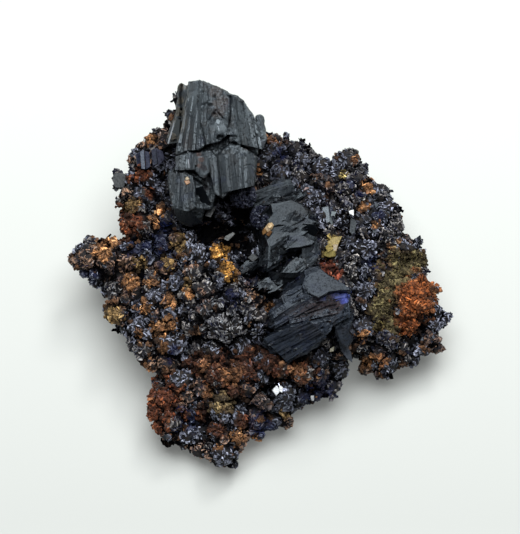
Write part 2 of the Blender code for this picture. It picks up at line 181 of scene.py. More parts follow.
# Lumps of the rock that stand out: (across, up, radius, lift).
KNOBS = [
    (-6.0, -10.8, 2.1, 1.2), (-4.3, -8.1, 3.6, 1.0), (-7.1, -5.0, 2.0, 0.9),
    (-2.2, -10.2, 1.7, 0.8), (-1.1, -6.7, 1.3, 0.6), (-11.8, -10.2, 2.4, 1.0),
    (-13.4, -7.8, 1.0, 0.8), (-11.6, -7.8, 1.2, 0.8), (-19.6, -6.3, 1.7, 0.9),
    (-16.9, -7.4, 1.4, 0.7), (-15.5, -8.8, 1.1, 0.7), (-16.2, -10.9, 1.7, 0.8),
    (-14.8, -13.2, 1.4, 0.6), (-10.6, -15.1, 1.8, 1.2), (-5.7, -14.4, 2.1, 1.0),
    (-1.8, -14.0, 1.9, 1.2), (1.3, -12.6, 1.8, 1.0), (3.2, -12.3, 0.7, 0.5), (6.9, -14.4, 2.0, 1.0),
    (-4.8, -17.4, 1.2, 0.7), (-4.9, -19.3, 1.8, 1.1), (-5.6, -22.1, 1.4, 1.0),
    (-2.7, -23.1, 1.3, 1.0), (-0.3, -22.5, 0.7, 0.5), (-12.7, -17.6, 1.7, 1.0),
    (-14.1, -19.6, 1.4, 0.9), (-12.0, -20.7, 2.0, 1.1), (-12.3, -23.0, 1.0, 0.6),
    (-14.1, -15.8, 0.9, 0.6), (-9.2, -22.8, 1.6, 0.9), (-9.0, -19.6, 1.5, 0.8),
    (-4.8, -25.6, 2.2, 1.1), (0.3, -20.7, 1.5, 0.8), (0.8, -23.5, 1.1, 0.7), (4.1, -17.9, 2.1, 0.8),
    (8.3, -17.9, 1.1, 0.6), (11.8, -17.2, 1.3, 0.7), (-23.9, 2.4, 2.6, 0.9), (-21.4, 2.0, 1.7, 0.8),
    (-17.6, 1.4, 1.3, 0.7), (-23.0, -0.4, 1.1, 0.6), (-17.6, -1.1, 1.0, 0.6),
    (-14.1, -1.5, 0.8, 0.6), (-20.2, -3.9, 1.0, 0.6), (-18.4, -3.6, 0.9, 0.5),
    (-15.3, -4.6, 1.1, 0.6), (-17.9, 15.0, 0.9, 0.6), (-17.6, 17.4, 0.9, 0.6),
    (-15.1, 18.5, 1.0, 0.7), (-14.6, 20.3, 0.7, 0.5), (-12.7, 21.0, 0.7, 0.5),
    (-15.5, 13.2, 1.7, 0.8), (-16.9, 9.4, 1.1, 0.7), (-19.3, 7.0, 1.1, 0.7), (-16.9, 7.3, 1.1, 0.6),
    (-20.0, 4.8, 0.9, 0.6), (-13.4, 9.1, 0.8, 0.5), (-14.3, 6.6, 0.6, 0.5), (-13.2, 3.8, 1.3, 0.7),
    (-9.5, 4.1, 1.0, 0.6), (-11.8, 1.0, 1.5, 0.8), (-9.2, 0.0, 1.4, 0.7), (2.7, 17.1, 1.7, 0.9),
    (2.7, 19.6, 1.1, 0.7), (6.2, 17.8, 1.4, 0.7), (9.0, 15.7, 1.3, 0.6), (12.5, 16.0, 2.0, 1.0),
    (14.8, 14.3, 1.3, 0.7), (12.2, 13.6, 0.7, 0.4), (15.7, 11.9, 1.0, 0.6), (18.1, 10.8, 0.9, 0.5),
    (15.3, 9.4, 0.9, 0.5), (18.1, 8.4, 1.3, 0.7), (20.6, 7.0, 1.4, 0.8), (16.7, 5.9, 1.1, 0.5),
    (20.9, 3.8, 1.7, 0.8), (17.4, 0.3, 1.3, 0.6), (21.6, -3.9, 3.6, 1.2), (18.1, -3.9, 2.1, 0.8),
    (22.3, -0.4, 1.7, 0.7), (22.3, -7.4, 1.7, 0.7), (25.4, -5.0, 1.3, 0.8), (25.4, -7.4, 1.1, 0.7),
    (24.4, -9.2, 1.1, 0.6), (19.0, -9.5, 1.7, 0.8), (23.5, -11.4, 1.1, 0.6),
    (18.8, -13.0, 1.6, 0.7), (16.2, -13.0, 1.0, 0.6), (14.8, -9.5, 0.9, 0.6),
    (14.6, -3.9, 1.4, 0.6),
]
# Balls of tiny blue crystals between the large ones: (across, up, height, radius).
BLUE_BALLS = [(-1.8, 10.6, 17.6, 1.7), (0.9, 7.6, 15.6, 1.6)]

# ---------------------------------------------------------------- colours, linear
BLUE_BLACK = (0.0020, 0.0026, 0.0060)
STEEL = (0.046, 0.048, 0.066)
DEEP_BLUE = (0.008, 0.013, 0.060)
BRIGHT_BLUE = (0.130, 0.170, 0.700)
GREY_BROWN = (0.026, 0.019, 0.014)
IRON_BLACK = (0.010, 0.005, 0.003)
SHADED_IRON = (0.006, 0.003, 0.002)
SHADED_BLUE = (0.001, 0.001, 0.002)
PIT_SHADE = (0.001, 0.001, 0.0015)
GAP_BLACK = (0.0015, 0.0015, 0.002)
COLD_SHEEN = (0.80, 0.91, 1.0)
DARK_STAIN, WARM_STAIN = (0.060, 0.030, 0.018), (0.230, 0.105, 0.045)
# Dust and a painted sheen on the crust's edges.
BLUE_DUST_AND_SHEEN, GREY_DUST_AND_SHEEN = (0.305, 0.322, 0.410), (0.300, 0.275, 0.255)
ROSETTE_DUST_AND_SHEEN, RUSTY_DUST_AND_SHEEN = (0.340, 0.335, 0.340), (0.400, 0.240, 0.155)
BLADE_DUST_AND_SHEEN, BALL_DUST_AND_SHEEN = (0.150, 0.155, 0.160), (0.10, 0.105, 0.15)
GREY_FACE, BLUE_FACE = (0.075, 0.083, 0.090), (0.042, 0.046, 0.074)
BLACK_FACE = (0.004, 0.005, 0.006)
# Iron stains, the later ones over the earlier: zones, colour, how much of the zone is covered.
ZONE_COLOURS = [
    (RUST, (0.215, 0.060, 0.023), 0.72),
    (RED, (0.270, 0.062, 0.034), 1.0),
    (BROWN, (0.125, 0.040, 0.019), 0.85),
    (TAN, (0.290, 0.125, 0.055), 0.85),
    (ORANGE, (0.500, 0.232, 0.095), 0.85),
    (OCHRE, (0.340, 0.215, 0.085), 0.75),
    (GOLD, (0.720, 0.350, 0.075), 1.0),
    (YELLOW, (0.620, 0.470, 0.160), 1.0),
    (LIMONITE_RIM, (0.152, 0.122, 0.054), 0.95),
    (LIMONITE_CORE, (0.370, 0.104, 0.028), 1.0),
    (OLIVE, (0.200, 0.140, 0.065), 0.90),
]
AZURITE_IOR, CRUST_IOR, IRON_IOR = 1.56, 1.52, 1.40
# Each large crystal: its deepest and its palest colour, its IOR and how mottled it is.
TRUNK_LOOK = ((0.006, 0.008, 0.012), (0.090, 0.107, 0.119), 1.58, 0.05)
FAN_LOOK = ((0.003, 0.004, 0.007), (0.040, 0.048, 0.057), 1.42, 0.30)
SHEAF_LOOK = ((0.003, 0.005, 0.012), (0.054, 0.067, 0.094), 1.43, 0.20)

# ---------------------------------------------------------------- large crystals
# A block or a plate: its front face as (across, up) corners, the height at the middle of that
# face, how much the height grows for each millimetre across and up, and how deep it goes.
TRUNK_BLOCKS = [
    ([(-9.6, 26.0), (-7.6, 26.2), (-4.6, 24.8), (-1.6, 22.6), (0.2, 20.0), (0.2, 16.0),
      (-0.6, 12.4), (-4.6, 10.8), (-8.0, 9.6), (-11.4, 9.6), (-11.6, 14.0), (-10.8, 18.4)],
      21.6, (0.1, 0.44), 4.5),
    ([(-9.4, 26.5), (-8.0, 26.7), (-7.0, 26.3), (-6.7, 24.1), (-6.9, 20.6), (-7.2, 17.4),
      (-9.2, 16.7), (-11.1, 16.3), (-10.9, 18.2), (-10.2, 21.3), (-9.7, 24.1)], 25.4, (0.42, 0.42),
      5.5),
    ([(-7.2, 26.4), (-5.5, 25.7), (-4.1, 25.0), (-3.6, 24.5), (-3.4, 22.0), (-3.8, 18.9),
      (-4.6, 18.1), (-7.0, 17.4), (-7.2, 20.6), (-7.1, 24.1)], 26.3, (0.06, 0.44), 6.5),
    ([(-7.0, 17.5), (-7.1, 20.2), (-6.2, 21.6), (-4.8, 22.4), (-3.9, 21.6), (-3.8, 18.9),
      (-4.8, 18.1)], 25.6, (0.02, 0.5), 4.0),
    ([(-3.9, 24.8), (-3.2, 24.6), (-2.4, 18.1), (-3.6, 18.2)], 25.9, (-0.1, 0.46), 5.5),
    ([(-3.3, 24.6), (-2.5, 24.4), (-1.4, 17.6), (-2.6, 17.9)], 25.2, (-0.5, 0.44), 5.5),
    ([(-2.6, 24.4), (-1.8, 23.8), (-0.4, 17.4), (-1.6, 17.5)], 24.9, (-0.1, 0.45), 5.5),
    ([(-1.9, 23.8), (-1.1, 22.7), (0.1, 17.6), (-0.7, 17.2)], 24.1, (-0.5, 0.44), 5.0),
    ([(-1.2, 22.7), (-0.4, 21.7), (0.4, 18.5), (0.0, 17.4)], 23.6, (-0.1, 0.44), 4.5),
    ([(0.0, 21.7), (0.6, 21.9), (1.1, 21.6), (1.1, 20.6), (1.4, 18.5), (0.8, 17.1), (0.2, 17.2),
      (0.1, 19.9)], 22.8, (-0.3, 0.4), 4.0),
    ([(-5.3, 15.7), (-4.8, 16.8), (-3.6, 17.7), (-2.2, 17.6), (-0.8, 16.7), (-0.3, 16.0),
      (-0.1, 13.4), (-0.3, 11.9), (-1.4, 11.8), (-3.4, 11.9), (-4.2, 10.6), (-4.9, 10.2),
      (-5.2, 12.9)], 22.9, (-0.16, 0.4), 6.5),
    ([(-6.5, 15.9), (-5.1, 16.2), (-4.9, 12.9), (-4.8, 10.1), (-5.5, 10.8), (-6.3, 13.2)],
      22.2, (0.1, 0.42), 5.0),
    ([(-11.1, 16.3), (-9.2, 16.8), (-8.4, 16.3), (-8.3, 14.7), (-9.2, 14.0), (-10.5, 13.9),
      (-11.3, 14.8)], 22.4, (0.32, 0.34), 5.0),
    ([(-8.5, 16.6), (-6.4, 16.9), (-5.6, 16.1), (-6.3, 14.0), (-7.3, 12.9), (-8.4, 14.0)],
      22.6, (0.15, 0.5), 5.0),
    ([(-12.0, 14.1), (-10.1, 13.9), (-8.8, 13.3), (-8.5, 11.2), (-8.3, 9.0), (-9.5, 8.4),
      (-11.2, 8.8), (-11.8, 10.4), (-12.2, 12.6)], 20.6, (0.2, 0.42), 5.5),
    ([(-8.9, 13.2), (-7.0, 13.8), (-6.0, 12.8), (-5.6, 10.4), (-6.2, 8.8), (-8.4, 8.8)],
      19.2, (0.1, 0.45), 4.0),
    ([(-11.6, 9.1), (-9.2, 8.9), (-7.2, 9.0), (-7.7, 7.0), (-9.2, 6.3), (-10.6, 7.0)],
      17.8, (0.15, 1.4), 4.0),
    ([(-10.9, 25.9), (-10.4, 26.3), (-9.8, 26.0), (-10.0, 24.6), (-10.6, 21.6), (-11.1, 18.5),
      (-11.9, 18.2), (-11.3, 21.3), (-10.8, 24.1)], 22.9, (0.3, 0.45), 3.0),
    ([(-12.5, 18.2), (-11.9, 20.2), (-11.2, 21.7), (-10.6, 21.4), (-10.9, 19.6), (-11.4, 18.0)],
      20.9, (0.9, 0.4), 3.0),
]
FAN_BLOCKS = [
    ([(0.6, 8.4), (3.2, 9.6), (6.6, 8.2), (7.6, 6.6), (7.4, 3.6), (7.8, 1.4), (6.6, -0.6),
      (3.8, -0.8), (2.2, 0.6), (1.4, 3.4), (0.4, 6.0)], 15.8, (0.25, 0.22), 3.0),
    ([(2.6, 6.2), (6.8, 6.0), (8.0, 4.6), (5.2, 3.6), (2.6, 4.6)], 17.9, (0.2, 0.75), 3.0),
    ([(2.2, 9.4), (3.5, 10.1), (4.8, 10.4), (6.3, 9.1), (8.3, 7.7), (7.6, 6.3), (5.7, 5.6),
      (4.3, 5.6), (2.5, 6.3), (2.4, 8.0)], 18.9, (0.22, 0.3), 3.5),
    ([(-0.3, 9.1), (0.8, 10.1), (4.5, 11.7), (5.0, 11.2), (3.4, 10.2), (0.8, 8.7)],
      17.2, (0.3, 0.3), 3.0),
    ([(1.0, 9.9), (2.8, 11.2), (5.6, 12.3), (5.8, 11.9), (4.0, 10.9), (2.0, 9.8)], 16.4, (0.3, 0.2),
      2.5),
    ([(0.8, 8.5), (3.5, 10.1), (5.2, 11.1), (5.9, 10.5), (3.9, 9.2), (2.0, 7.8)], 17.3, (0.3, 0.5),
      3.5),
    ([(2.0, 4.5), (2.7, 5.3), (4.3, 5.7), (6.2, 5.3), (8.0, 4.2), (7.7, 3.8), (5.7, 3.5),
      (4.5, 3.4), (2.8, 3.6), (2.1, 4.1)], 18.8, (0.2, 0.1), 4.0),
    ([(1.7, 1.4), (2.0, 3.1), (2.7, 3.8), (3.8, 3.5), (3.3, 2.0), (2.8, 0.6), (2.1, 0.3)],
      17.2, (0.35, 0.75), 4.0),
    ([(3.2, 3.6), (5.7, 3.7), (7.2, 3.6), (6.6, 2.2), (4.8, 2.0), (3.6, 1.2)], 15.9, (0.0, 0.3),
      3.0),
    ([(6.4, 2.4), (7.3, 3.6), (8.1, 3.8), (8.4, 1.5), (7.6, 0.4), (6.8, 0.9)], 17.2, (-0.25, 0.55),
      3.5),
    ([(3.6, 0.0), (4.3, 1.3), (5.2, 2.0), (7.1, 0.8), (6.4, -0.1), (4.9, -0.3)], 17.4, (0.15, 0.2),
      3.5),
    ([(3.4, -0.2), (4.8, 0.2), (7.0, 0.3), (7.3, -0.3), (6.2, -1.5), (4.5, -1.8), (3.4, -1.1)],
      15.8, (0.2, 0.9), 3.0),
    ([(-2.0, 0.6), (-1.1, 1.3), (0.0, 0.7), (-0.8, -0.1)], 14.5, (0.25, 0.3), 3.0),
    ([(0.0, -1.8), (1.5, -0.8), (2.7, -1.5), (3.8, -2.7), (2.2, -2.2), (1.0, -2.0)],
      15.4, (0.15, 0.35), 3.0),
    ([(1.5, 6.2), (2.8, 6.6), (3.0, 4.9), (2.0, 4.2), (1.2, 4.9)], 16.4, (0.6, 0.5), 3.0),
    ([(0.2, 8.6), (2.2, 9.2), (2.5, 6.6), (1.4, 5.8), (0.2, 6.6), (-0.2, 7.6)], 15.4, (0.6, 0.3),
      3.0),
    ([(-0.4, 3.2), (1.6, 4.0), (2.1, 2.6), (1.8, 0.8), (0.4, 0.6), (-0.2, 1.8)], 14.4, (0.5, 0.4),
      2.5),
]
SHEAF_BLOCKS = [
    ([(7.3, -1.4), (7.4, 0.3), (8.4, 0.6), (10.2, -1.0), (10.5, -1.8), (9.4, -2.5), (7.8, -2.9),
      (6.9, -2.4)], 18.6, (0.3, 0.25), 5.0),
    ([(10.0, -0.9), (11.8, -1.8), (12.9, -3.4), (11.5, -3.1), (10.2, -2.4)], 17.9, (-0.1, 0.35),
      4.0),
    ([(3.8, -2.4), (7.3, 0.4), (7.5, -1.5), (7.1, -2.5), (3.9, -3.6)], 16.8, (0.25, 0.85), 4.5),
    ([(7.1, -2.2), (6.4, -3.6), (2.9, -5.7), (1.7, -5.6), (3.8, -3.4)], 16.6, (0.3, 0.45), 4.5),
    ([(2.6, -5.9), (6.2, -3.7), (7.8, -2.9), (10.6, -2.4), (12.5, -3.7), (12.7, -6.0), (10.1, -7.2),
      (6.2, -6.9), (3.4, -7.8), (1.8, -7.4)], 16.2, (0.22, 0.42), 5.0),
    ([(0.8, -9.9), (2.0, -8.7), (3.2, -7.6), (6.3, -6.7), (10.2, -7.3), (10.1, -7.8), (8.4, -9.9),
      (7.0, -11.1), (5.7, -11.6), (4.2, -12.6), (3.5, -11.2), (2.0, -10.9)], 14.2, (0.15, 0.72),
      4.5),
    ([(11.2, -3.0), (13.0, -3.8), (13.4, -6.6), (12.6, -9.4), (11.4, -9.0), (10.6, -6.6)],
      15.4, (-0.2, 0.6), 4.0),
]
FAN_PLATES = [
    ([(2.2, 9.4), (4.8, 9.9), (6.2, 9.2), (7.1, 8.4), (6.2, 8.0), (7.3, 7.4), (8.4, 7.0),
      (7.3, 6.6), (6.2, 6.0), (4.8, 6.4), (3.1, 6.6), (2.0, 6.2), (1.7, 7.3), (2.5, 8.1)],
      19.0, (0.12, 0.24), 1.2),
    ([(2.0, 6.2), (4.8, 6.5), (6.2, 6.1), (6.6, 5.2), (4.8, 5.0), (2.2, 4.6), (1.7, 5.3)],
      18.5, (0.2, 0.34), 1.2),
    ([(2.0, 3.6), (1.7, 4.5), (2.8, 5.5), (4.8, 5.6), (6.6, 5.0), (8.1, 4.3), (7.8, 3.9),
      (6.2, 3.5), (4.8, 3.4), (3.4, 3.6)], 18.7, (0.15, 0.12), 1.4),
    ([(3.6, 0.0), (4.8, 1.4), (5.7, 2.0), (6.4, 1.1), (7.1, 0.8), (6.4, 0.0), (4.8, -0.1)],
      17.6, (0.15, 0.2), 1.0),
    ([(2.0, 0.0), (3.9, -0.3), (6.2, -0.1), (6.9, 0.6), (7.0, -0.3), (4.8, -2.2), (3.8, -2.8),
      (2.2, -0.8)], 15.9, (0.2, 0.95), 1.6),
    ([(-2.1, 0.8), (-1.3, 1.3), (-0.1, 1.0), (-0.6, 0.4), (-1.7, 0.0)], 14.4, (0.1, 0.25), 1.5),
    ([(0.0, -1.5), (1.4, -1.0), (2.2, -1.3), (3.6, -2.5), (2.0, -2.4), (0.6, -2.1)],
      15.4, (0.05, 0.2), 1.5),
    ([(6.6, 3.1), (8.3, 4.5), (8.7, 3.6), (8.3, 1.4), (7.3, 0.6), (6.3, 1.4)], 17.4, (-0.28, 0.5),
      1.5),
    ([(-0.6, 9.2), (0.8, 10.1), (4.1, 11.5), (5.0, 12.0), (4.8, 11.2), (2.0, 9.7), (0.3, 8.4)],
      17.2, (0.3, 0.38), 1.2),
    ([(0.0, 11.2), (2.7, 12.5), (4.8, 12.9), (3.9, 12.0), (1.1, 10.8)], 16.2, (0.3, 0.3), 1.2),
    ([(0.8, 8.4), (2.2, 9.2), (1.7, 8.1), (0.8, 7.3)], 17.1, (0.4, 0.5), 1.2),
    ([(4.1, 10.6), (6.2, 11.5), (6.6, 10.6), (5.0, 9.8)], 17.4, (0.1, 0.45), 1.2),
    ([(1.7, 0.5), (1.6, 3.4), (2.0, 3.5), (2.1, 0.5)], 16.9, (0.1, 0.75), 1.5),
    ([(2.1, 0.6), (2.0, 3.5), (2.4, 3.6), (2.5, 0.9)], 17.2, (0.7, 0.7), 1.5),
    ([(2.5, 0.7), (2.4, 3.6), (2.8, 3.6), (2.9, 1.2)], 17.2, (0.05, 0.72), 1.5),
    ([(2.9, 1.3), (2.8, 3.6), (3.2, 3.6), (3.3, 2.0)], 17.4, (0.7, 0.7), 1.5),
    ([(3.2, 2.1), (3.2, 3.6), (3.8, 3.5), (3.6, 2.4)], 17.3, (0.1, 0.7), 1.5),
    ([(4.0, 3.4), (6.2, 3.5), (5.4, 2.4), (4.3, 2.3)], 16.4, (0.3, 0.95), 1.5),
]
SHEAF_PLATES = [
    ([(7.1, 0.1), (8.0, 0.6), (9.0, 0.3), (10.4, -0.8), (11.8, -1.5), (13.0, -2.5), (11.5, -2.5),
      (10.1, -2.7), (8.7, -3.5), (7.3, -2.8), (6.9, -1.7), (7.3, -0.6)], 19.0, (0.05, 0.24), 1.4),
    ([(3.8, -3.4), (6.9, -1.3), (7.3, -2.1), (4.2, -4.3)], 17.2, (0.2, 0.18), 1.2),
    ([(3.6, -2.9), (6.9, -0.4), (7.1, -1.1), (3.9, -3.5)], 17.3, (0.25, 0.9), 1.2),
    ([(2.2, -5.7), (4.1, -4.3), (6.4, -2.8), (6.7, -3.5), (4.3, -5.2), (2.5, -6.4)],
      16.8, (0.15, 0.22), 1.2),
    ([(2.7, -7.0), (4.8, -5.6), (7.8, -3.9), (8.1, -4.5), (5.0, -6.4), (2.9, -7.8)],
      16.4, (0.2, 0.5), 1.2),
    ([(7.6, -3.6), (9.4, -3.3), (12.6, -2.9), (12.4, -3.4), (9.6, -4.0), (7.8, -4.3)],
      17.4, (0.0, 0.4), 1.0),
    ([(6.0, -5.2), (8.0, -4.5), (11.0, -3.9), (11.2, -4.3), (8.2, -5.1), (6.2, -5.8)],
      16.9, (0.05, 0.6), 1.0),
    ([(4.6, -6.8), (7.0, -5.9), (10.0, -5.0), (10.2, -5.5), (7.2, -6.5), (4.8, -7.3)],
      16.2, (0.1, 0.35), 1.0),
    ([(8.4, -6.0), (11.6, -4.8), (12.2, -5.4), (11.6, -6.2), (9.0, -6.6)], 16.2, (-0.1, 0.6), 1.0),
    ([(11.2, -8.1), (12.5, -7.8), (13.3, -9.2), (12.6, -10.4), (11.8, -9.8)], 14.4, (-0.1, 0.9),
      1.2),
]
# Lined faces: the two ends of the near edge, the two ends of the far edge, how many strips,
# the height at the middle, the tilt and how uneven the strips are.
TRUNK_LINES = [
    ((-3.3, 24.6), (-0.1, 21.4), (-2.6, 17.9), (0.9, 17.1), 10, 24.75, (-0.36, 0.44), 0.1),
    ((-5.2, 16.3), (-0.4, 16.5), (-4.7, 11.0), (-0.3, 12.0), 11, 23.0, (-0.16, 0.4), 0.08),
    ((-12.0, 13.9), (-8.8, 13.4), (-11.6, 9.2), (-8.6, 8.8), 7, 20.7, (0.2, 0.42), 0.1),
    ((-6.4, 15.6), (-5.1, 16.0), (-5.8, 10.9), (-4.9, 10.5), 3, 22.3, (0.1, 0.42), 0.1),
    ((-11.1, 16.1), (-8.5, 16.5), (-11.2, 14.2), (-8.5, 14.2), 6, 22.5, (0.32, 0.34), 0.1),
    ((-9.6, 24.0), (-7.5, 25.0), (-11.0, 16.8), (-8.0, 17.0), 6, 25.1, (0.42, 0.42), 0.05),
]
FAN_LINES = [
    ((1.7, 3.5), (3.8, 3.5), (1.6, 0.5), (3.5, 2.0), 7, 17.6, (0.05, 0.42), 0.14),
    ((6.4, 3.4), (8.6, 4.0), (6.4, 1.2), (8.4, 1.4), 6, 17.5, (-0.28, 0.5), 0.08),
    ((-0.2, 8.8), (-0.4, 11.2), (5.6, 11.0), (4.8, 13.0), 6, 17.3, (0.12, 0.32), 0.3),
]
SHEAF_LINES = [
    ((1.0, -9.2), (4.2, -12.4), (7.2, -6.6), (9.8, -9.0), 15, 14.35, (0.15, 0.72), 0.07),
    ((2.2, -5.6), (2.7, -7.8), (7.6, -2.4), (8.3, -4.6), 8, 16.7, (0.2, 0.4), 0.16),
    ((4.6, -6.0), (4.8, -7.6), (12.5, -3.0), (12.3, -6.4), 11, 16.3, (0.0, 0.45), 0.22),
]
# Where the ridges of each crystal run to, as (across, up, height).
TRUNK_APEX, FAN_APEX, SHEAF_APEX = (-7.3, 44.8, 35.6), (13.0, 53.0, 52.0), (60.0, 30.0, 44.0)
# How many times longer than wide the broad and the fine ridges are.
BROAD_RIDGE, FINE_RIDGE = 24, 30
# A crack: its (across, up) points, half its width and its depth.
TRUNK_CRACKS = [
    ([(-11.3, 16.2), (-9.2, 16.8), (-7.8, 16.7), (-7.0, 17.5), (-5.7, 17.8), (-4.6, 18.1),
      (-3.9, 18.9), (-2.9, 18.9), (-2.0, 18.5)], 0.1, 0.35),
    ([(-7.0, 17.5), (-7.3, 18.8), (-7.7, 20.2), (-8.0, 21.8)], 0.12, 0.35),
    ([(-2.0, 17.6), (-0.8, 16.9), (0.2, 16.2)], 0.12, 0.35),
    ([(-5.5, 15.9), (-5.1, 13.6), (-4.9, 11.8), (-4.9, 10.2)], 0.12, 0.4),
    ([(-10.6, 14.0), (-9.2, 14.1), (-8.5, 14.7)], 0.16, 0.5),
    ([(-5.1, 18.7), (-4.6, 18.6)], 0.3, 0.7),
    ([(-6.6, 21.1), (-5.6, 22.5), (-4.6, 21.4)], 0.1, 0.25),
    ([(-3.5, 24.4), (-3.5, 22.0), (-3.9, 18.9)], 0.12, 0.35),
    ([(-1.9, 23.6), (-1.0, 20.4), (-0.6, 17.4)], 0.1, 0.3),
    ([(-9.5, 13.2), (-8.4, 12.9), (-6.9, 11.9)], 0.12, 0.4),
    ([(-11.5, 17.0), (-11.3, 12.9)], 0.14, 0.3),
    ([(-10.4, 26.0), (-10.6, 24.2), (-10.4, 22.4), (-10.9, 19.6)], 0.16, 0.5),
    ([(-3.8, 15.9), (-3.7, 11.6)], 0.08, 0.2),
    ([(-11.0, 15.8), (-10.8, 13.4)], 0.1, 0.25),
]
# Large crystals that carry blades: name, where the blades run to, how many, how pale.
BLADED = [("fan", FAN_APEX, 1500, 0.5), ("sheaf", SHEAF_APEX, 700, 0.2)]
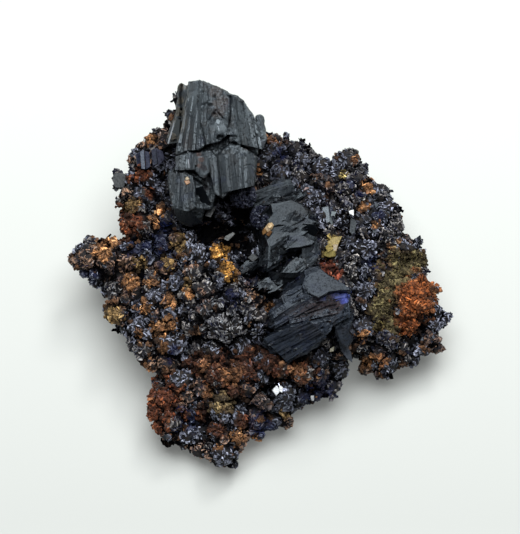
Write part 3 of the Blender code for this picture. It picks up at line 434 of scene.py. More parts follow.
# A loose crystal, or a small block that paints a glint, a highlight or a shadow: its corners, how
# far it stands above the rock, its tilt, depth and colour.
LOOSE_BLOCKS = [
    ([(-7.1, 7.8), (-6.6, 9.1), (-5.6, 9.0), (-6.3, 7.6)], 3.5, (0.2, 0.4),
      2.0, (0.2, 0.205, 0.21)),
    ([(-4.5, 4.6), (-4.3, 5.0), (-3.2, 5.6), (-2.9, 5.3), (-3.9, 4.3)], 1.0, (0.2, 0.4),
      2.0, (0.2, 0.2, 0.19)),
    ([(1.2, 6.1), (1.7, 6.8), (2.2, 6.9), (2.5, 6.5), (2.2, 5.9), (1.6, 5.5)], 0.5, (0.1, 0.5),
      1.5, (0.48, 0.33, 0.17)),
    # Painted highlight on the gold crystal.
    ([(1.6, 6.3), (2.0, 6.7), (2.3, 6.4), (1.9, 6.0)], 0.62, (0.3, 0.2), 1.0, (0.68, 0.5, 0.28)),
    # Painted shade on the gold crystal's lower-left side, then a painted shadow below it.
    ([(0.8, 5.6), (1.2, 6.2), (1.6, 5.6), (1.5, 5.0), (1.0, 5.0)], 0.46, (0.5, 0.6),
      1.5, (0.4, 0.21, 0.08)),
    ([(1.4, 5.2), (1.9, 5.8), (2.3, 5.6), (1.8, 4.9)], 0.42, (-0.2, 0.9), 1.5, (0.24, 0.12, 0.05)),
    ([(5.7, 6.1), (6.7, 6.8), (8.0, 6.7), (8.8, 5.7), (8.2, 5.0), (6.8, 5.3)], 0.15, (0.1, 1.1),
      1.0, BLACK_FACE),
    ([(9.2, 9.0), (10.1, 9.2), (10.4, 7.0), (9.5, 6.7)], 1.0, (0.1, 0.4), 1.5, (0.1, 0.115, 0.13)),
    ([(10.5, 8.5), (11.8, 8.3), (10.8, 5.6), (10.2, 6.2)], 1.2, (0.3, 0.3),
      1.5, (0.21, 0.245, 0.26)),
    ([(12.3, 10.1), (13.6, 9.5), (13.4, 8.7), (12.5, 8.4)], 0.9, (-0.2, 0.4),
      1.5, (0.085, 0.08, 0.105)),
    # A painted glint.
    ([(12.9, 8.5), (13.6, 8.7), (13.6, 7.8), (13.0, 8.1)], 1.5, (0.0, 0.2), 1.0, (0.8, 0.81, 0.83)),
    ([(13.2, 7.6), (14.0, 7.0), (13.7, 4.8), (13.0, 5.6)], 1.0, (-0.2, 0.5), 1.5, GREY_FACE),
    # Painted glints low on the rock.
    ([(2.2, -16.4), (2.9, -15.7), (3.4, -16.5), (2.8, -17.2)], 1.2, (0.1, 0.2),
      1.0, (0.72, 0.73, 0.76)),
    ([(3.2, -15.7), (3.8, -16.0), (3.6, -16.8), (3.2, -16.5)], 1.3, (0.1, 0.3),
      1.0, (0.78, 0.79, 0.8)),
    ([(7.9, -17.9), (8.4, -17.9), (8.4, -18.6), (8.0, -18.6)], 0.9, (0.1, 0.2),
      1.0, (0.55, 0.56, 0.58)),
    ([(10.3, -10.6), (10.9, -10.3), (10.8, -11.0), (10.2, -11.1)], 0.7, (0.1, 0.3),
      1.0, (0.48, 0.43, 0.28)),
    ([(9.9, 4.0), (10.6, 4.8), (12.0, 5.0), (11.5, 3.9), (10.6, 3.6)], 1.35, (0.2, 0.5),
      2.0, (0.44, 0.34, 0.14)),
    ([(9.6, 3.5), (10.3, 4.1), (10.8, 3.2), (10.0, 2.7)], 1.3, (0.4, 0.2),
      2.0, (0.34, 0.26, 0.085)),
    ([(10.7, 3.9), (11.5, 3.9), (11.2, 2.8), (10.7, 3.0)], 1.25, (-0.1, 0.3),
      2.0, (0.27, 0.18, 0.07)),
    ([(9.3, 2.3), (9.9, 3.1), (11.0, 3.0), (11.1, 2.2), (10.2, 2.0)], 1.15, (0.2, 0.6),
      2.0, (0.31, 0.25, 0.08)),
    ([(-16.8, 16.4), (-16.2, 16.8), (-16.1, 14.5), (-16.6, 14.8)], 1.0, (0.5, 0.6),
      2.5, (0.03, 0.034, 0.06)),
    ([(-16.2, 16.8), (-15.6, 17.1), (-15.4, 14.3), (-16.0, 14.4)], 1.05, (0.1, 0.45),
      2.5, (0.048, 0.055, 0.086)),
    ([(-15.5, 16.9), (-14.9, 16.7), (-14.7, 14.7), (-15.3, 14.3)], 1.0, (-0.3, 0.5),
      2.5, BLUE_FACE),
    ([(-14.6, 17.0), (-13.9, 17.3), (-13.7, 15.1), (-14.4, 14.8)], 1.0, (0.2, 0.5),
      2.5, (0.034, 0.036, 0.06)),
    ([(-13.9, 17.3), (-13.0, 16.8), (-12.7, 15.7), (-13.6, 14.8)], 1.05, (-0.3, 0.6),
      2.5, (0.046, 0.048, 0.075)),
    # Painted glints on the trunk: a stack of short bars, then a long stripe.
    ([(-5.6, 21.1), (-5.3, 21.3), (-4.9, 21.0), (-5.1, 20.5), (-5.5, 20.6)], 0.1, (0.1, 0.35),
      0.6, (0.15, 0.175, 0.195)),
    ([(-5.4, 20.3), (-5.2, 20.3), (-5.0, 19.5), (-5.2, 19.4)], 0.1, (0.0, 0.4),
      0.6, (0.22, 0.25, 0.28)),
    ([(-9.6, 17.3), (-9.45, 17.3), (-9.3, 15.9), (-9.45, 15.9)], 0.08, (0.1, 0.42),
      0.6, (0.4, 0.42, 0.46)),
    ([(-9.5, 15.7), (-9.35, 15.7), (-9.2, 14.4), (-9.35, 14.4)], 0.08, (0.1, 0.42),
      0.6, (0.34, 0.36, 0.4)),
    ([(-9.9, 13.0), (-9.5, 13.3), (-9.2, 12.9), (-9.7, 12.7)], 0.15, (0.1, 0.4),
      0.6, (0.46, 0.35, 0.21)),
    ([(-10.0, 12.7), (-9.3, 12.8), (-9.1, 12.4), (-9.7, 12.1)], 0.12, (0.2, 0.2),
      0.6, (0.34, 0.17, 0.07)),
    ([(-11.4, 8.7), (-9.6, 8.9), (-7.4, 6.8), (-9.2, 6.4), (-11.0, 7.2)], 0.2, (0.1, 1.3),
      1.0, BLACK_FACE),
    ([(-8.6, 11.6), (-7.4, 12.0), (-6.4, 9.8), (-6.6, 8.6), (-8.0, 8.6)], 0.25, (0.5, 0.9),
      1.0, BLACK_FACE),
    ([(-4.6, 8.0), (-3.0, 8.6), (-0.9, 9.3), (-1.0, 7.4), (-3.6, 6.6)], 0.6, (0.1, 1.2),
      1.0, BLACK_FACE),
    ([(-11.1, 21.4), (-10.5, 21.2), (-10.8, 18.0), (-12.2, 17.8)], 0.25, (0.9, 0.9),
      1.0, BLACK_FACE),
    ([(-12.4, 17.9), (-12.1, 17.8), (-11.0, 21.4), (-11.3, 21.6)], 0.3, (0.0, 0.35),
      0.6, (0.11, 0.11, 0.12)),
    ([(-20.1, 12.9), (-19.6, 13.8), (-18.5, 13.8), (-18.0, 12.9), (-18.5, 11.8), (-19.6, 11.8)],
      0.8, (0.3, 0.6), 2.0, (0.11, 0.116, 0.12)),
    ([(11.5, -9.9), (12.3, -9.8), (13.2, -11.2), (13.4, -12.6), (12.6, -12.0), (11.8, -10.9)],
      1.2, (0.2, 0.6), 2.0, (0.07, 0.08, 0.1)),
    ([(-1.2, 2.0), (-0.4, 2.6), (0.3, 2.0), (-0.4, 1.4)], 0.8, (0.3, 0.2), 1.5, (0.06, 0.06, 0.06)),
]
# A face this many millimetres from the plane of a plate or of a lined face belongs to it.
PLATE_THICKNESS, LINE_THICKNESS = 0.16, 0.35
PLATE_MARGIN = 0.3
SMOOTH_ANGLE = math.radians(42)

# ---------------------------------------------------------------- lamps
# A lamp: name, place in metres, diameter, share of the main power, colour.
LAMPS = [
    ("ceiling_lamp", (0.02, 0.05, 1.0), 1.1, 0.76, (0.98, 1.0, 1.0)),
    ("window_lamp", (0.20, 0.42, 0.62), 0.24, 0.10, (1.0, 1.0, 0.98)),
]
SKY_COLOUR = (0.96, 0.985, 1.0)
# The floor's painted shade in front of the specimen and behind it, darker in front, and how far
# from the middle it turns.
FLOOR_PAINTED_SHADES, FLOOR_TURN = (0.475, 0.62), 0.04


# ---------------------------------------------------------------- places and noise
def from_display(across, up, height):
    """The point that shows at (across, up) at this height, in millimetres."""
    back = (up - height * math.cos(ELEVATION)) / math.sin(ELEVATION)
    return np.array((across, back, height))


def to_display(points):
    """How far right and how far up each point shows."""
    return points[:, 0], points @ UP


def middle_of(corners):
    return np.mean(np.array(corners, float), axis=0)


def unit(rows):
    """The rows at length one."""
    return rows / np.maximum(np.linalg.norm(rows, axis=1, keepdims=True), 1e-9)


def chance(pattern):
    return np.random.default_rng(SEEDS[pattern])


HASH_PRIMES = np.array((73856093, 19349663, 83492791))
HASH_MIXER, HASH_MASK = 1274126177, 0x7FFFFFFF
HASH_VALUES = 65521


def hashed(cells):
    """A whole number below HASH_VALUES for each cell, the same on every run."""
    x, y, z = (cells * HASH_PRIMES).T
    mixed = x ^ y ^ z
    return (((mixed ^ (mixed >> 13)) * HASH_MIXER) & HASH_MASK) % HASH_VALUES


def value_noise(points, size, seed):
    """Smooth noise between 0 and 1 with lumps of the given size."""
    spot = points / size + seed * 7.31
    cell = np.floor(spot).astype(np.int64)
    part = spot - cell
    part = part * part * (3 - 2 * part)
    total = np.zeros(len(points))
    for corner in itertools.product((0, 1), repeat=3):
        share = np.prod(np.where(corner, part, 1 - part), axis=1)
        total += share * hashed(cell + np.array(corner)) / HASH_VALUES
    return total


def cell_noise(points, size, seed):
    """Noise with one value in each cell of the given size."""
    return hashed(np.floor(points / size + seed * 5.17).astype(np.int64)) / HASH_VALUES


def zone_share(points, zones, soft=0.35):
    """How far into the zones each point is, 0 outside and 1 well inside, with ragged edges."""
    across, up = to_display(points)
    wobble = (value_noise(points, 1.1, 3) - 0.5) * 1.3 + (value_noise(points, 0.45, 5) - 0.5)
    share = np.zeros(len(points))
    for x, y, radius in zones:
        distance = np.hypot(across - x, up - y) / radius + wobble * 0.7
        share = np.maximum(share, np.clip((1.0 - distance) / soft, 0, 1))
    return share


def covered(points, films, colour, cover):
    """Colour and cover of the points once the films lie on them."""
    for zones, tone, density in films:
        share = zone_share(points, zones)[:, None]
        colour = colour * (1 - share) + np.array(tone) * share
        cover = np.maximum(cover, share[:, 0] * density)
    return colour, cover


def stain(points):
    """Colour of the iron stain at each point, and how much of it covers the azurite."""
    across, up = to_display(points)
    left = np.clip((-7.5 - across) / 5, 0, 1) * np.clip((12 - up) / 6, 0, 1)
    low = np.clip((-9 - up) / 5, 0, 1)
    right = np.clip((across - 12) / 5, 0, 1)
    lumps = value_noise(points, 1.3, 11) * 0.6 + value_noise(points, 0.6, 13) * 0.4
    wanted = 0.10 * left + 0.05 * low + 0.08 * right + 0.08
    cover = np.clip((lumps - (0.84 - wanted)) / 0.08, 0, 1)
    warm = value_noise(points, 1.7, 17)[:, None]
    colour = np.array(DARK_STAIN) * (1 - warm) + np.array(WARM_STAIN) * warm
    return covered(points, ZONE_COLOURS, colour, cover)


# ---------------------------------------------------------------- bpy.ops helpers
def alone(obj):
    """Makes this the active and the only selected object."""
    bpy.ops.object.select_all(action="DESELECT")
    bpy.context.view_layer.objects.active = obj
    obj.select_set(True)


def apply_modifiers(obj):
    alone(obj)
    for modifier in list(obj.modifiers):
        bpy.ops.object.modifier_apply(modifier=modifier.name)


def join(parts):
    """Joins the parts into the first of them."""
    alone(parts[0])
    for obj in parts:
        obj.select_set(True)
    bpy.ops.object.join()
    return parts[0]


def rename(obj, name):
    obj.name = name
    obj.data.name = name
    return obj


def add_voxels(obj, cell):
    """Rebuilds the mesh as one skin of cells this large."""
    remesh = obj.modifiers.new("cells", "REMESH")
    remesh.mode = "VOXEL"
    remesh.voxel_size = cell * MM


def roughen(obj, name, kind, size, strength, middle=0.5, **settings):
    """Pushes the surface out and in by a texture with lumps of this size."""
    texture = bpy.data.textures.new(name, kind)
    texture.noise_scale = size * MM
    for key, value in settings.items():
        setattr(texture, key, value)
    displace = obj.modifiers.new(name, "DISPLACE")
    displace.texture = texture
    displace.texture_coords = "LOCAL"
    displace.strength = strength * MM
    displace.mid_level = middle


def read(items, key, width=1):
    """What each item of a mesh holds: a number, or a row of this width."""
    flat = np.empty(len(items) * width, np.float32)
    items.foreach_get(key, flat)
    return flat if width == 1 else flat.reshape(-1, width).astype(float)


def places(obj):
    """The mesh's points in millimetres."""
    return read(obj.data.vertices, "co", 3) / MM


def outward(obj):
    """The directions in which the mesh's points face."""
    return read(obj.data.vertices, "normal", 3)


def move_points(obj, points):
    obj.data.vertices.foreach_set("co", (points * MM).astype(np.float32).ravel())
    obj.data.update()


def store(obj, name, values):
    """Keeps a number or a colour for each point of the mesh."""
    values = np.asarray(values, np.float32)
    if values.ndim == 1:
        layer = obj.data.attributes.new(name, "FLOAT", "POINT")
        layer.data.foreach_set("value", values)
    else:
        layer = obj.data.color_attributes.new(name, "FLOAT_COLOR", "POINT")
        whole = np.concatenate([values, np.ones((len(values), 1), np.float32)], axis=1)
        layer.data.foreach_set("color", whole.ravel())


def mount_piece(obj, material, slot, *nodes):
    """Gives a piece its material, its body and the nodes that it replaces; the slot argument is not
    used.
    """
    obj.data.materials.clear()
    obj.data.materials.append(material)
    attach(obj, "root")
    if nodes:
        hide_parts(*nodes)


# ---------------------------------------------------------------- seeds and copies
# The outline of a plate as (x, z) corners, then how much it is curved and how much it waves.
PLATE_SHAPES = [
    ([(-0.35, 0), (-0.5, 0.55), (-0.28, 0.92), (0.15, 1.0), (0.5, 0.62), (0.38, 0)], 1.6, 0.0),
    ([(-0.40, 0), (-0.5, 0.75), (-0.10, 1.0), (0.42, 0.86), (0.5, 0.30), (0.30, 0)], 0.0, 2.6),
    ([(-0.30, 0), (-0.42, 0.7), (0.02, 1.0), (0.5, 0.5), (0.40, 0)], 0.0, 0.0),
    ([(-0.40, 0), (-0.5, 0.85), (-0.22, 1.0), (0.24, 0.96), (0.5, 0.8), (0.40, 0)], -2.4, 1.5),
]


class Seed:
    """The points and faces of a small modelled shape, ready to be copied many times."""

    def __init__(self, obj):
        mesh = obj.data
        self.points = np.array([v.co for v in mesh.vertices], float)
        self.corners = np.array([loop.vertex_index for loop in mesh.loops])
        self.totals = np.array([f.loop_total for f in mesh.polygons])
        self.rims = np.array([float(abs(f.normal.y) < 0.7) for f in mesh.polygons])
        bpy.data.objects.remove(obj, do_unlink=True)


def put_in_order(obj):
    """Gives the points and faces an order that is the same on every run."""
    spots = read(obj.data.vertices, "co", 3)
    order = np.lexsort(spots.T)
    rank = np.argsort(order)
    faces = []
    for face in obj.data.polygons:
        corners = [int(rank[i]) for i in face.vertices]
        first = corners.index(min(corners))
        faces.append(corners[first:] + corners[:first])
    obj.data.clear_geometry()
    obj.data.from_pydata(spots[order], [], sorted(faces))
    obj.data.update()


def extruded(front, shift):
    """A closed solid: a face with these corners, in metres, drawn out by shift."""
    bpy.ops.object.select_all(action="DESELECT")
    bpy.ops.mesh.primitive_circle_add(vertices=len(front), fill_type="NGON")
    obj = bpy.context.object
    obj.data.vertices.foreach_set("co", np.array(front, np.float32).ravel())
    obj.data.update()
    bpy.ops.object.mode_set(mode="EDIT")
    bpy.ops.mesh.select_all(action="SELECT")
    bpy.ops.mesh.extrude_region_move(TRANSFORM_OT_translate={"value": shift})
    bpy.ops.mesh.select_all(action="SELECT")
    bpy.ops.mesh.normals_make_consistent(inside=False)
    bpy.ops.object.mode_set(mode="OBJECT")
    put_in_order(obj)
    return obj


def plate_seeds():
    """Thin plates one unit high, standing on their edges."""
    seeds = []
    for outline, curve, wave in PLATE_SHAPES:
        front = [
            (x, curve * (4 * x * x - 0.5) + wave * x * (1 - 4 * x * x) * 2.6 - 0.5, z)
            for x, z in outline
        ]
        seeds.append(Seed(extruded(front, (0, 1, 0))))
    return seeds


def cut_away(point, normal):
    """Takes away what lies beyond a plane, and closes the cut."""
    bpy.ops.mesh.select_all(action="SELECT")
    bpy.ops.mesh.bisect(plane_co=point, plane_no=normal, clear_outer=True, use_fill=True)


def prism_seed():
    """A small stout prism with a slanting end."""
    bpy.ops.object.select_all(action="DESELECT")
    bpy.ops.mesh.primitive_cylinder_add(vertices=6, radius=0.5, depth=1, location=(0, 0, 0.5))
    bpy.ops.object.transform_apply(location=True, rotation=False, scale=False)
    bpy.ops.object.mode_set(mode="EDIT")
    cut_away((0, 0, 0.82), (0.5, 0.2, 1))
    cut_away((0.4, 0, 0.8), (0.8, -0.2, 0.6))
    bpy.ops.object.mode_set(mode="OBJECT")
    put_in_order(bpy.context.object)
    return Seed(bpy.context.object)


def grain_seed():
    """A rough little lump."""
    bpy.ops.object.select_all(action="DESELECT")
    bpy.ops.mesh.primitive_ico_sphere_add(subdivisions=1, radius=0.5)
    bpy.ops.object.mode_set(mode="EDIT")
    bpy.ops.mesh.select_all(action="SELECT")
    bpy.ops.transform.vertex_random(offset=0.16, seed=4)
    bpy.ops.object.mode_set(mode="OBJECT")
    return Seed(bpy.context.object)


def copies(name, seeds, kinds, origins, axes, sizes, values):
    """One mesh with a copy of a seed for each origin.

    axes holds three unit rows for each copy, sizes its width, thickness and length, and
    values what each copy keeps on all of its points.
    """
    points, corners, totals, owners, rims, reach = [], [], [], [], [], []
    base = 0
    for kind, seed in enumerate(seeds):
        mine = np.flatnonzero(kinds == kind)
        local = seed.points[None] * sizes[mine][:, None, :]
        placed = np.einsum("nvi,nij->nvj", local, axes[mine]) + origins[mine][:, None]
        points.append(np.clip(placed, ROOM[0], ROOM[1]).reshape(-1, 3))
        shift = base + np.arange(len(mine))[:, None] * len(seed.points)
        corners.append((seed.corners[None] + shift).ravel())
        totals.append(np.tile(seed.totals, len(mine)))
        owners.append(np.repeat(mine, len(seed.points)))
        rims.append(np.tile(seed.rims, len(mine)))
        reach.append(np.tile(seed.points[:, 2], len(mine)))
        base += len(seed.points) * len(mine)
    points, corners, totals, owners, rims, reach = (
        np.concatenate(rows) for rows in (points, corners, totals, owners, rims, reach)
    )
    mesh = bpy.data.meshes.new(name)
    mesh.vertices.add(len(points))
    mesh.vertices.foreach_set("co", (points * MM).astype(np.float32).ravel())
    mesh.loops.add(len(corners))
    mesh.loops.foreach_set("vertex_index", corners.astype(np.int32))
    mesh.polygons.add(len(totals))
    starts = np.concatenate([[0], np.cumsum(totals)[:-1]])
    mesh.polygons.foreach_set("loop_start", starts.astype(np.int32))
    mesh.update(calc_edges=True)
    mesh.shade_flat()
    edge = mesh.attributes.new("rim", "FLOAT", "FACE")
    edge.data.foreach_set("value", rims.astype(np.float32))
    obj = bpy.data.objects.new(name, mesh)
    bpy.context.scene.collection.objects.link(obj)
    store(obj, "reach", reach)
    for key, value in values.items():
        store(obj, key, value[owners])
    return obj


def mount_copies(parts, material, seeds, kinds, origins, axes, sizes, values):
    """Mounts the copies on the rock as several pieces: names and the copies that each takes."""
    for name, mine in parts.items():
        own_values = {key: value[mine] for key, value in values.items()}
        obj = copies(
            name, seeds, kinds[mine], origins[mine], axes[mine], sizes[mine], own_values
        )
        mount_piece(obj, material, "matrix")


def frames_along(along, towards, roll):
    """Rows of axes: the third runs along, the second turns towards and then by roll."""
    third = unit(along)
    second = unit(towards - third * (towards * third).sum(1, keepdims=True))
    first = np.cross(second, third)
    c, s = np.cos(roll)[:, None], np.sin(roll)[:, None]
    second, first = second * c - first * s, first * c + second * s
    return np.stack([first, second, third], axis=1)


def scatter(obj, count, rng, weight=None):
    """Random places on the surface with their outward directions."""
    mesh = obj.data
    mesh.calc_loop_triangles()
    tris = np.empty(len(mesh.loop_triangles) * 3, np.int32)
    mesh.loop_triangles.foreach_get("vertices", tris)
    tris = tris.reshape(-1, 3)
    spots, normals = places(obj), outward(obj)
    a, b, c = (spots[tris[:, i]] for i in range(3))
    area = np.linalg.norm(np.cross(b - a, c - a), axis=1)
    if weight is not None:
        area = area * weight((a + b + c) / 3, unit(normals[tris].sum(1)))
    picked = rng.choice(len(tris), size=count, p=area / area.sum())
    u, v = rng.random(count), rng.random(count)
    turn = u + v > 1
    u[turn], v[turn] = 1 - u[turn], 1 - v[turn]
    at = a[picked] + (b - a)[picked] * u[:, None] + (c - a)[picked] * v[:, None]
    return at, unit(normals[tris[picked]].sum(1))


def gap_to(points, targets):
    """How far each point is from the nearest target."""
    tree = KDTree(len(targets))
    for i, target in enumerate(targets):
        tree.insert(target, i)
    tree.balance()
    return np.array([tree.find(point)[2] for point in points])


def clearance(points, node):
    """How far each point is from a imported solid."""
    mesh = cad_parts[node].data
    tree = BVHTree.FromPolygons(
        [v.co.copy() for v in mesh.vertices], [tuple(f.vertices) for f in mesh.polygons]
    )
    return np.array([tree.find_nearest(Vector(p) * MM)[3] / MM for p in points])


def seen_at(obj, across, up):
    """The object's point that shows at this place of the display side, or None."""
    start = (from_display(across, up, 0) + TOWARDS_VIEWER * 100) * MM
    hit, place, _, _ = obj.ray_cast(Vector(start), Vector(-TOWARDS_VIEWER))
    return from_display(across, up, place.z / MM) if hit else None


def on_the_rock(rock, across, up):
    """The point that shows at this place, or a little nearer to the middle where rock is."""
    for inwards in (1, 0.98, 0.96, 0.94, 0.92, 0.9, 0.88, 0.85):
        point = seen_at(rock, across * inwards, up * inwards)
        if point is not None:
            return point
    raise ValueError(f"no rock near {across}, {up}")


def on_crystals(across, up):
    """The points of the large crystals that show at this place."""
    points = (seen_at(bpy.data.objects[name], across, up) for name in ("trunk", "fan", "sheaf"))
    return [point for point in points if point is not None]


@functools.lru_cache
def knob_sites():
    """The rock's lumps as rows of x, y, z, radius and lift: the named ones, then chance ones."""
    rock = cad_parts["matrix"]
    rows = [(*on_the_rock(rock, x, y), radius, lift) for x, y, radius, lift in KNOBS]
    rng = chance("lumps")
    for spot in scatter(rock, 1600, rng)[0]:
        known = np.array(rows)
        gap = np.linalg.norm(known[:, :3] - spot, axis=1) - known[:, 3] * 0.6
        if gap.min() > 0.9:
            radius = rng.uniform(0.8, 1.7)
            rows.append((*spot, radius, radius * rng.uniform(0.35, 0.6)))
    return np.array(rows)


def lump_of(points):
    """Which lump each point is on, and how far it is into the crease round that lump."""
    lump = np.zeros(len(points), int)
    share, other = np.full(len(points), 9.0), np.full(len(points), 9.0)
    for i, (x, y, z, radius, _) in enumerate(knob_sites()):
        reach = np.linalg.norm(points - (x, y, z), axis=1) / radius
        nearer = reach < share
        other = np.where(nearer, share, np.minimum(other, reach))
        lump[nearer], share[nearer] = i, reach[nearer]
    return lump, np.clip(1.15 - (other - share) / 0.35, 0, 1)


def dome_lift(points):
    """How far the lumps lift each point, with a crease wherever two of them meet."""
    lift = np.zeros(len(points))
    for x, y, z, radius, height in knob_sites():
        share = np.linalg.norm(points - (x, y, z), axis=1) / radius
        lift = np.maximum(lift, height * np.sqrt(np.clip(1 - share ** 2, 0, 1)))
    return lift


# ---------------------------------------------------------------- shader helpers
class Wire:
    """A shader socket that can be used in a Python expression."""

    def __init__(self, shader, socket):
        self.shader, self.socket = shader, socket

    def math(self, operation, first, second):
        return self.shader.node("ShaderNodeMath", {"operation": operation}, {0: first, 1: second})

    def __add__(self, other):
        return self.math("ADD", self, other)

    def __radd__(self, other):
        return self.math("ADD", other, self)

    def __sub__(self, other):
        return self.math("SUBTRACT", self, other)

    def __rsub__(self, other):
        return self.math("SUBTRACT", other, self)

    def __mul__(self, other):
        return self.math("MULTIPLY", self, other)

    def __rmul__(self, other):
        return self.math("MULTIPLY", other, self)

    def above(self, low, high):
        """0 below low, 1 above high."""
        return self.shader.node(
            "ShaderNodeMapRange", {"clamp": True}, {"Value": self, 1: low, 2: high}
        )


class Shader:
    """A material, and the one way in which its nodes are added."""

    def __init__(self, name):
        self.material = bpy.data.materials.new(name)
        self.material.use_nodes = True
        self.nodes = self.material.node_tree.nodes
        self.links = self.material.node_tree.links
        self.surface = self.nodes["Principled BSDF"]

    def node(self, kind, settings=None, inputs=None, out=0):
        """Adds a node and gives one of its outputs."""
        made = self.nodes.new(kind)
        for key, value in (settings or {}).items():
            setattr(made, key, value)
        for key, value in (inputs or {}).items():
            self.put(made.inputs[key], value)
        return Wire(self, made.outputs[out])

    def put(self, socket, value):
        """Links a wire to a socket, or sets the socket to a constant."""
        if isinstance(value, Wire):
            self.links.new(value.socket, socket)
        elif isinstance(value, tuple) and len(value) == 3 and socket.type == "RGBA":
            socket.default_value = (*value, 1)
        else:
            socket.default_value = value

    def attribute(self, name, out="Fac"):
        return self.node("ShaderNodeAttribute", {"attribute_name": name}, out=out)

    def coordinates(self):
        return self.node("ShaderNodeTexCoord", out="Object")

    def noise(self, size, detail=3, rough=0.55, spot=None):
        """Noise with lumps of this size in mm, at the object's coordinates or at spot."""
        return self.node(
            "ShaderNodeTexNoise", None,
            {"Vector": spot or self.coordinates(), "Scale": 1 / MM / size, "Detail": detail,
             "Roughness": rough},
        )

    def mix(self, share, first, second, blend="MIX"):
        return self.node(
            "ShaderNodeMix", {"data_type": "RGBA", "blend_type": blend},
            {"Factor": share, 6: first, 7: second}, out=2,
        )

    def bump(self, height, depth, strength, under=None):
        """Bumps as deep as this in mm, on top of the normal of the bumps under them."""
        inputs = {"Height": height, "Distance": depth * MM, "Strength": strength}
        if under:
            inputs["Normal"] = under
        return self.node("ShaderNodeBump", None, inputs)

    def finish(self, sunk=None, **values):
        """Fills the surface's inputs; sunk is the share covered by painted shade, a dull black
        standing in for gaps too deep for light.
        """
        for key, value in values.items():
            self.put(self.surface.inputs[key.replace("_", " ")], value)
        if sunk:
            gap = self.node("ShaderNodeBsdfDiffuse", None, {"Color": GAP_BLACK})
            whole = Wire(self, self.surface.outputs["BSDF"])
            mixed = self.node("ShaderNodeMixShader", None, {0: sunk, 1: whole, 2: gap})
            self.put(self.nodes["Material Output"].inputs["Surface"], mixed)
        return self.material


def large_crystal_material(name, gloss, deep, steel, ior, mottle):
    """Glassy near-black azurite with fine lines along its ridges, brown film in places, painted
    shade in small pits and a dull black where sunk.
    """
    shader = Shader(name)
    lines = shader.noise(0.20, spot=shader.attribute("grain", "Vector"))
    pits = shader.noise(0.26, detail=4)
    calm, cover = shader.attribute("calm"), shader.attribute("cover")
    streaks = (lines - 0.5) * (0.6 - calm * 0.35)
    base = shader.mix(shader.attribute("tint") * 0.75 + streaks + 0.1, deep, steel)
    # Dark specks: painted shade in small pits, beside the bumps.
    specks = shader.noise(0.34, detail=5, rough=0.75).above(0.53, 0.63)
    dark = specks * (1 - calm * 0.85)
    base = shader.mix(dark * 0.85, base, PIT_SHADE)
    base = shader.mix(shader.noise(2.4, detail=2).above(0.58, 0.8) * 0.4, base, DEEP_BLUE)
    film = cover * pits.above(0.30, 0.5)
    base = shader.mix(film, base, shader.attribute("stain", "Color"))
    base = shader.mix(shader.attribute("blue") * (0.6 + specks * 0.4), base, BRIGHT_BLUE)
    ridges = shader.bump(lines * (1.2 - calm * 0.8) - dark * 0.6, 0.12, 0.8)
    return shader.finish(
        Base_Color=base,
        Roughness=gloss + pits * (0.25 - calm * 0.15) + cover * 0.25 + dark * 0.35,
        IOR=ior,
        Specular_Tint=COLD_SHEEN,
        Normal=shader.bump(pits * (1 - calm * 0.7), 0.05, 0.45, under=ridges),
        sunk=shader.attribute("sunk") * (0.55 + specks * 0.45)
        + shader.noise(0.32, detail=6, rough=0.8).above(0.44, 0.60) * mottle,
    )


def loose_material(gloss):
    """Azurite in each loose crystal's own tone, with fine darker lines along it; for some blocks
    the tone is a painted glint, highlight or shade.
    """
    shader = Shader("loose_azurite")
    along = shader.node(
        "ShaderNodeMapping", {"vector_type": "POINT"},
        {"Vector": shader.coordinates(), "Scale": (1, 1, 0.2)},
    )
    grain = shader.noise(0.25, spot=along)
    tone = shader.attribute("tone", "Color")
    dark = shader.mix(0.55, tone, BLUE_BLACK)
    return shader.finish(
        Base_Color=shader.mix(grain.above(0.35, 0.6), dark, tone),
        Roughness=gloss + grain * 0.2,
        IOR=AZURITE_IOR,
        Specular_Tint=COLD_SHEEN,
        Normal=shader.bump(grain, 0.05, 0.6),
    )


def crust_material():
    """Glossy blue-black, paler where the thin edges of a crystal are worn and dusty and carry a
    painted sheen.
    """
    shader = Shader("azurite_crust")
    grain = shader.noise(0.30)
    tip = shader.attribute("reach")
    # Pale rims: dust and wear, and a painted sheen that stands in for light on the thin edges near
    # the tips.
    worn = shader.attribute("rim") * tip.above(0.3, 0.8) * grain.above(0.3, 0.55)
    base = shader.mix(shader.attribute("tint"), BLUE_BLACK, STEEL)
    base = shader.mix(shader.attribute("blue"), base, DEEP_BLUE)
    dusty = worn * shader.attribute("dust")
    base = shader.mix(dusty, base, shader.attribute("dust_tone", "Color"))
    base = shader.mix(shader.attribute("cover"), base, shader.attribute("stain", "Color"))
    return shader.finish(
        Base_Color=base,
        Roughness=0.13 + grain * 0.2 + shader.attribute("cover") * 0.45 + worn * 0.2,
        IOR=CRUST_IOR,
        Specular_Tint=COLD_SHEEN,
        Normal=shader.bump(grain, 0.04, 0.4),
        # Painted shade: each crystal is darker towards its base, and where sunk in creases and
        # hollows.
        sunk=shader.attribute("sunk") + 0.5 - tip.above(0.65, 0.92) * 0.5,
    )


def rock_material():
    """Dull blue-black rock, and iron stain over it."""
    shader = Shader("stained_rock")
    grain = shader.noise(0.30, detail=4, rough=0.7)
    lumps = shader.noise(0.9)
    cover, shade = shader.attribute("cover"), shader.attribute("shade")
    blue = shader.mix(lumps.above(0.4, 0.7), BLUE_BLACK, GREY_BROWN)
    blue = shader.mix(shader.attribute("blue") * 0.8, blue, DEEP_BLUE)
    blue = shader.mix(shade, blue, SHADED_BLUE)
    iron = shader.mix(grain.above(0.35, 0.6), IRON_BLACK, shader.attribute("stain", "Color"))
    iron = shader.mix(shade * 0.85, iron, SHADED_IRON)
    return shader.finish(
        Base_Color=shader.mix(cover, blue, iron),
        Roughness=0.55 + cover * 0.3 + grain * 0.15,
        IOR=IRON_IOR,
        Normal=shader.bump(grain + lumps * 0.5, 0.22, 0.9),
        sunk=shade * 0.9,
    )


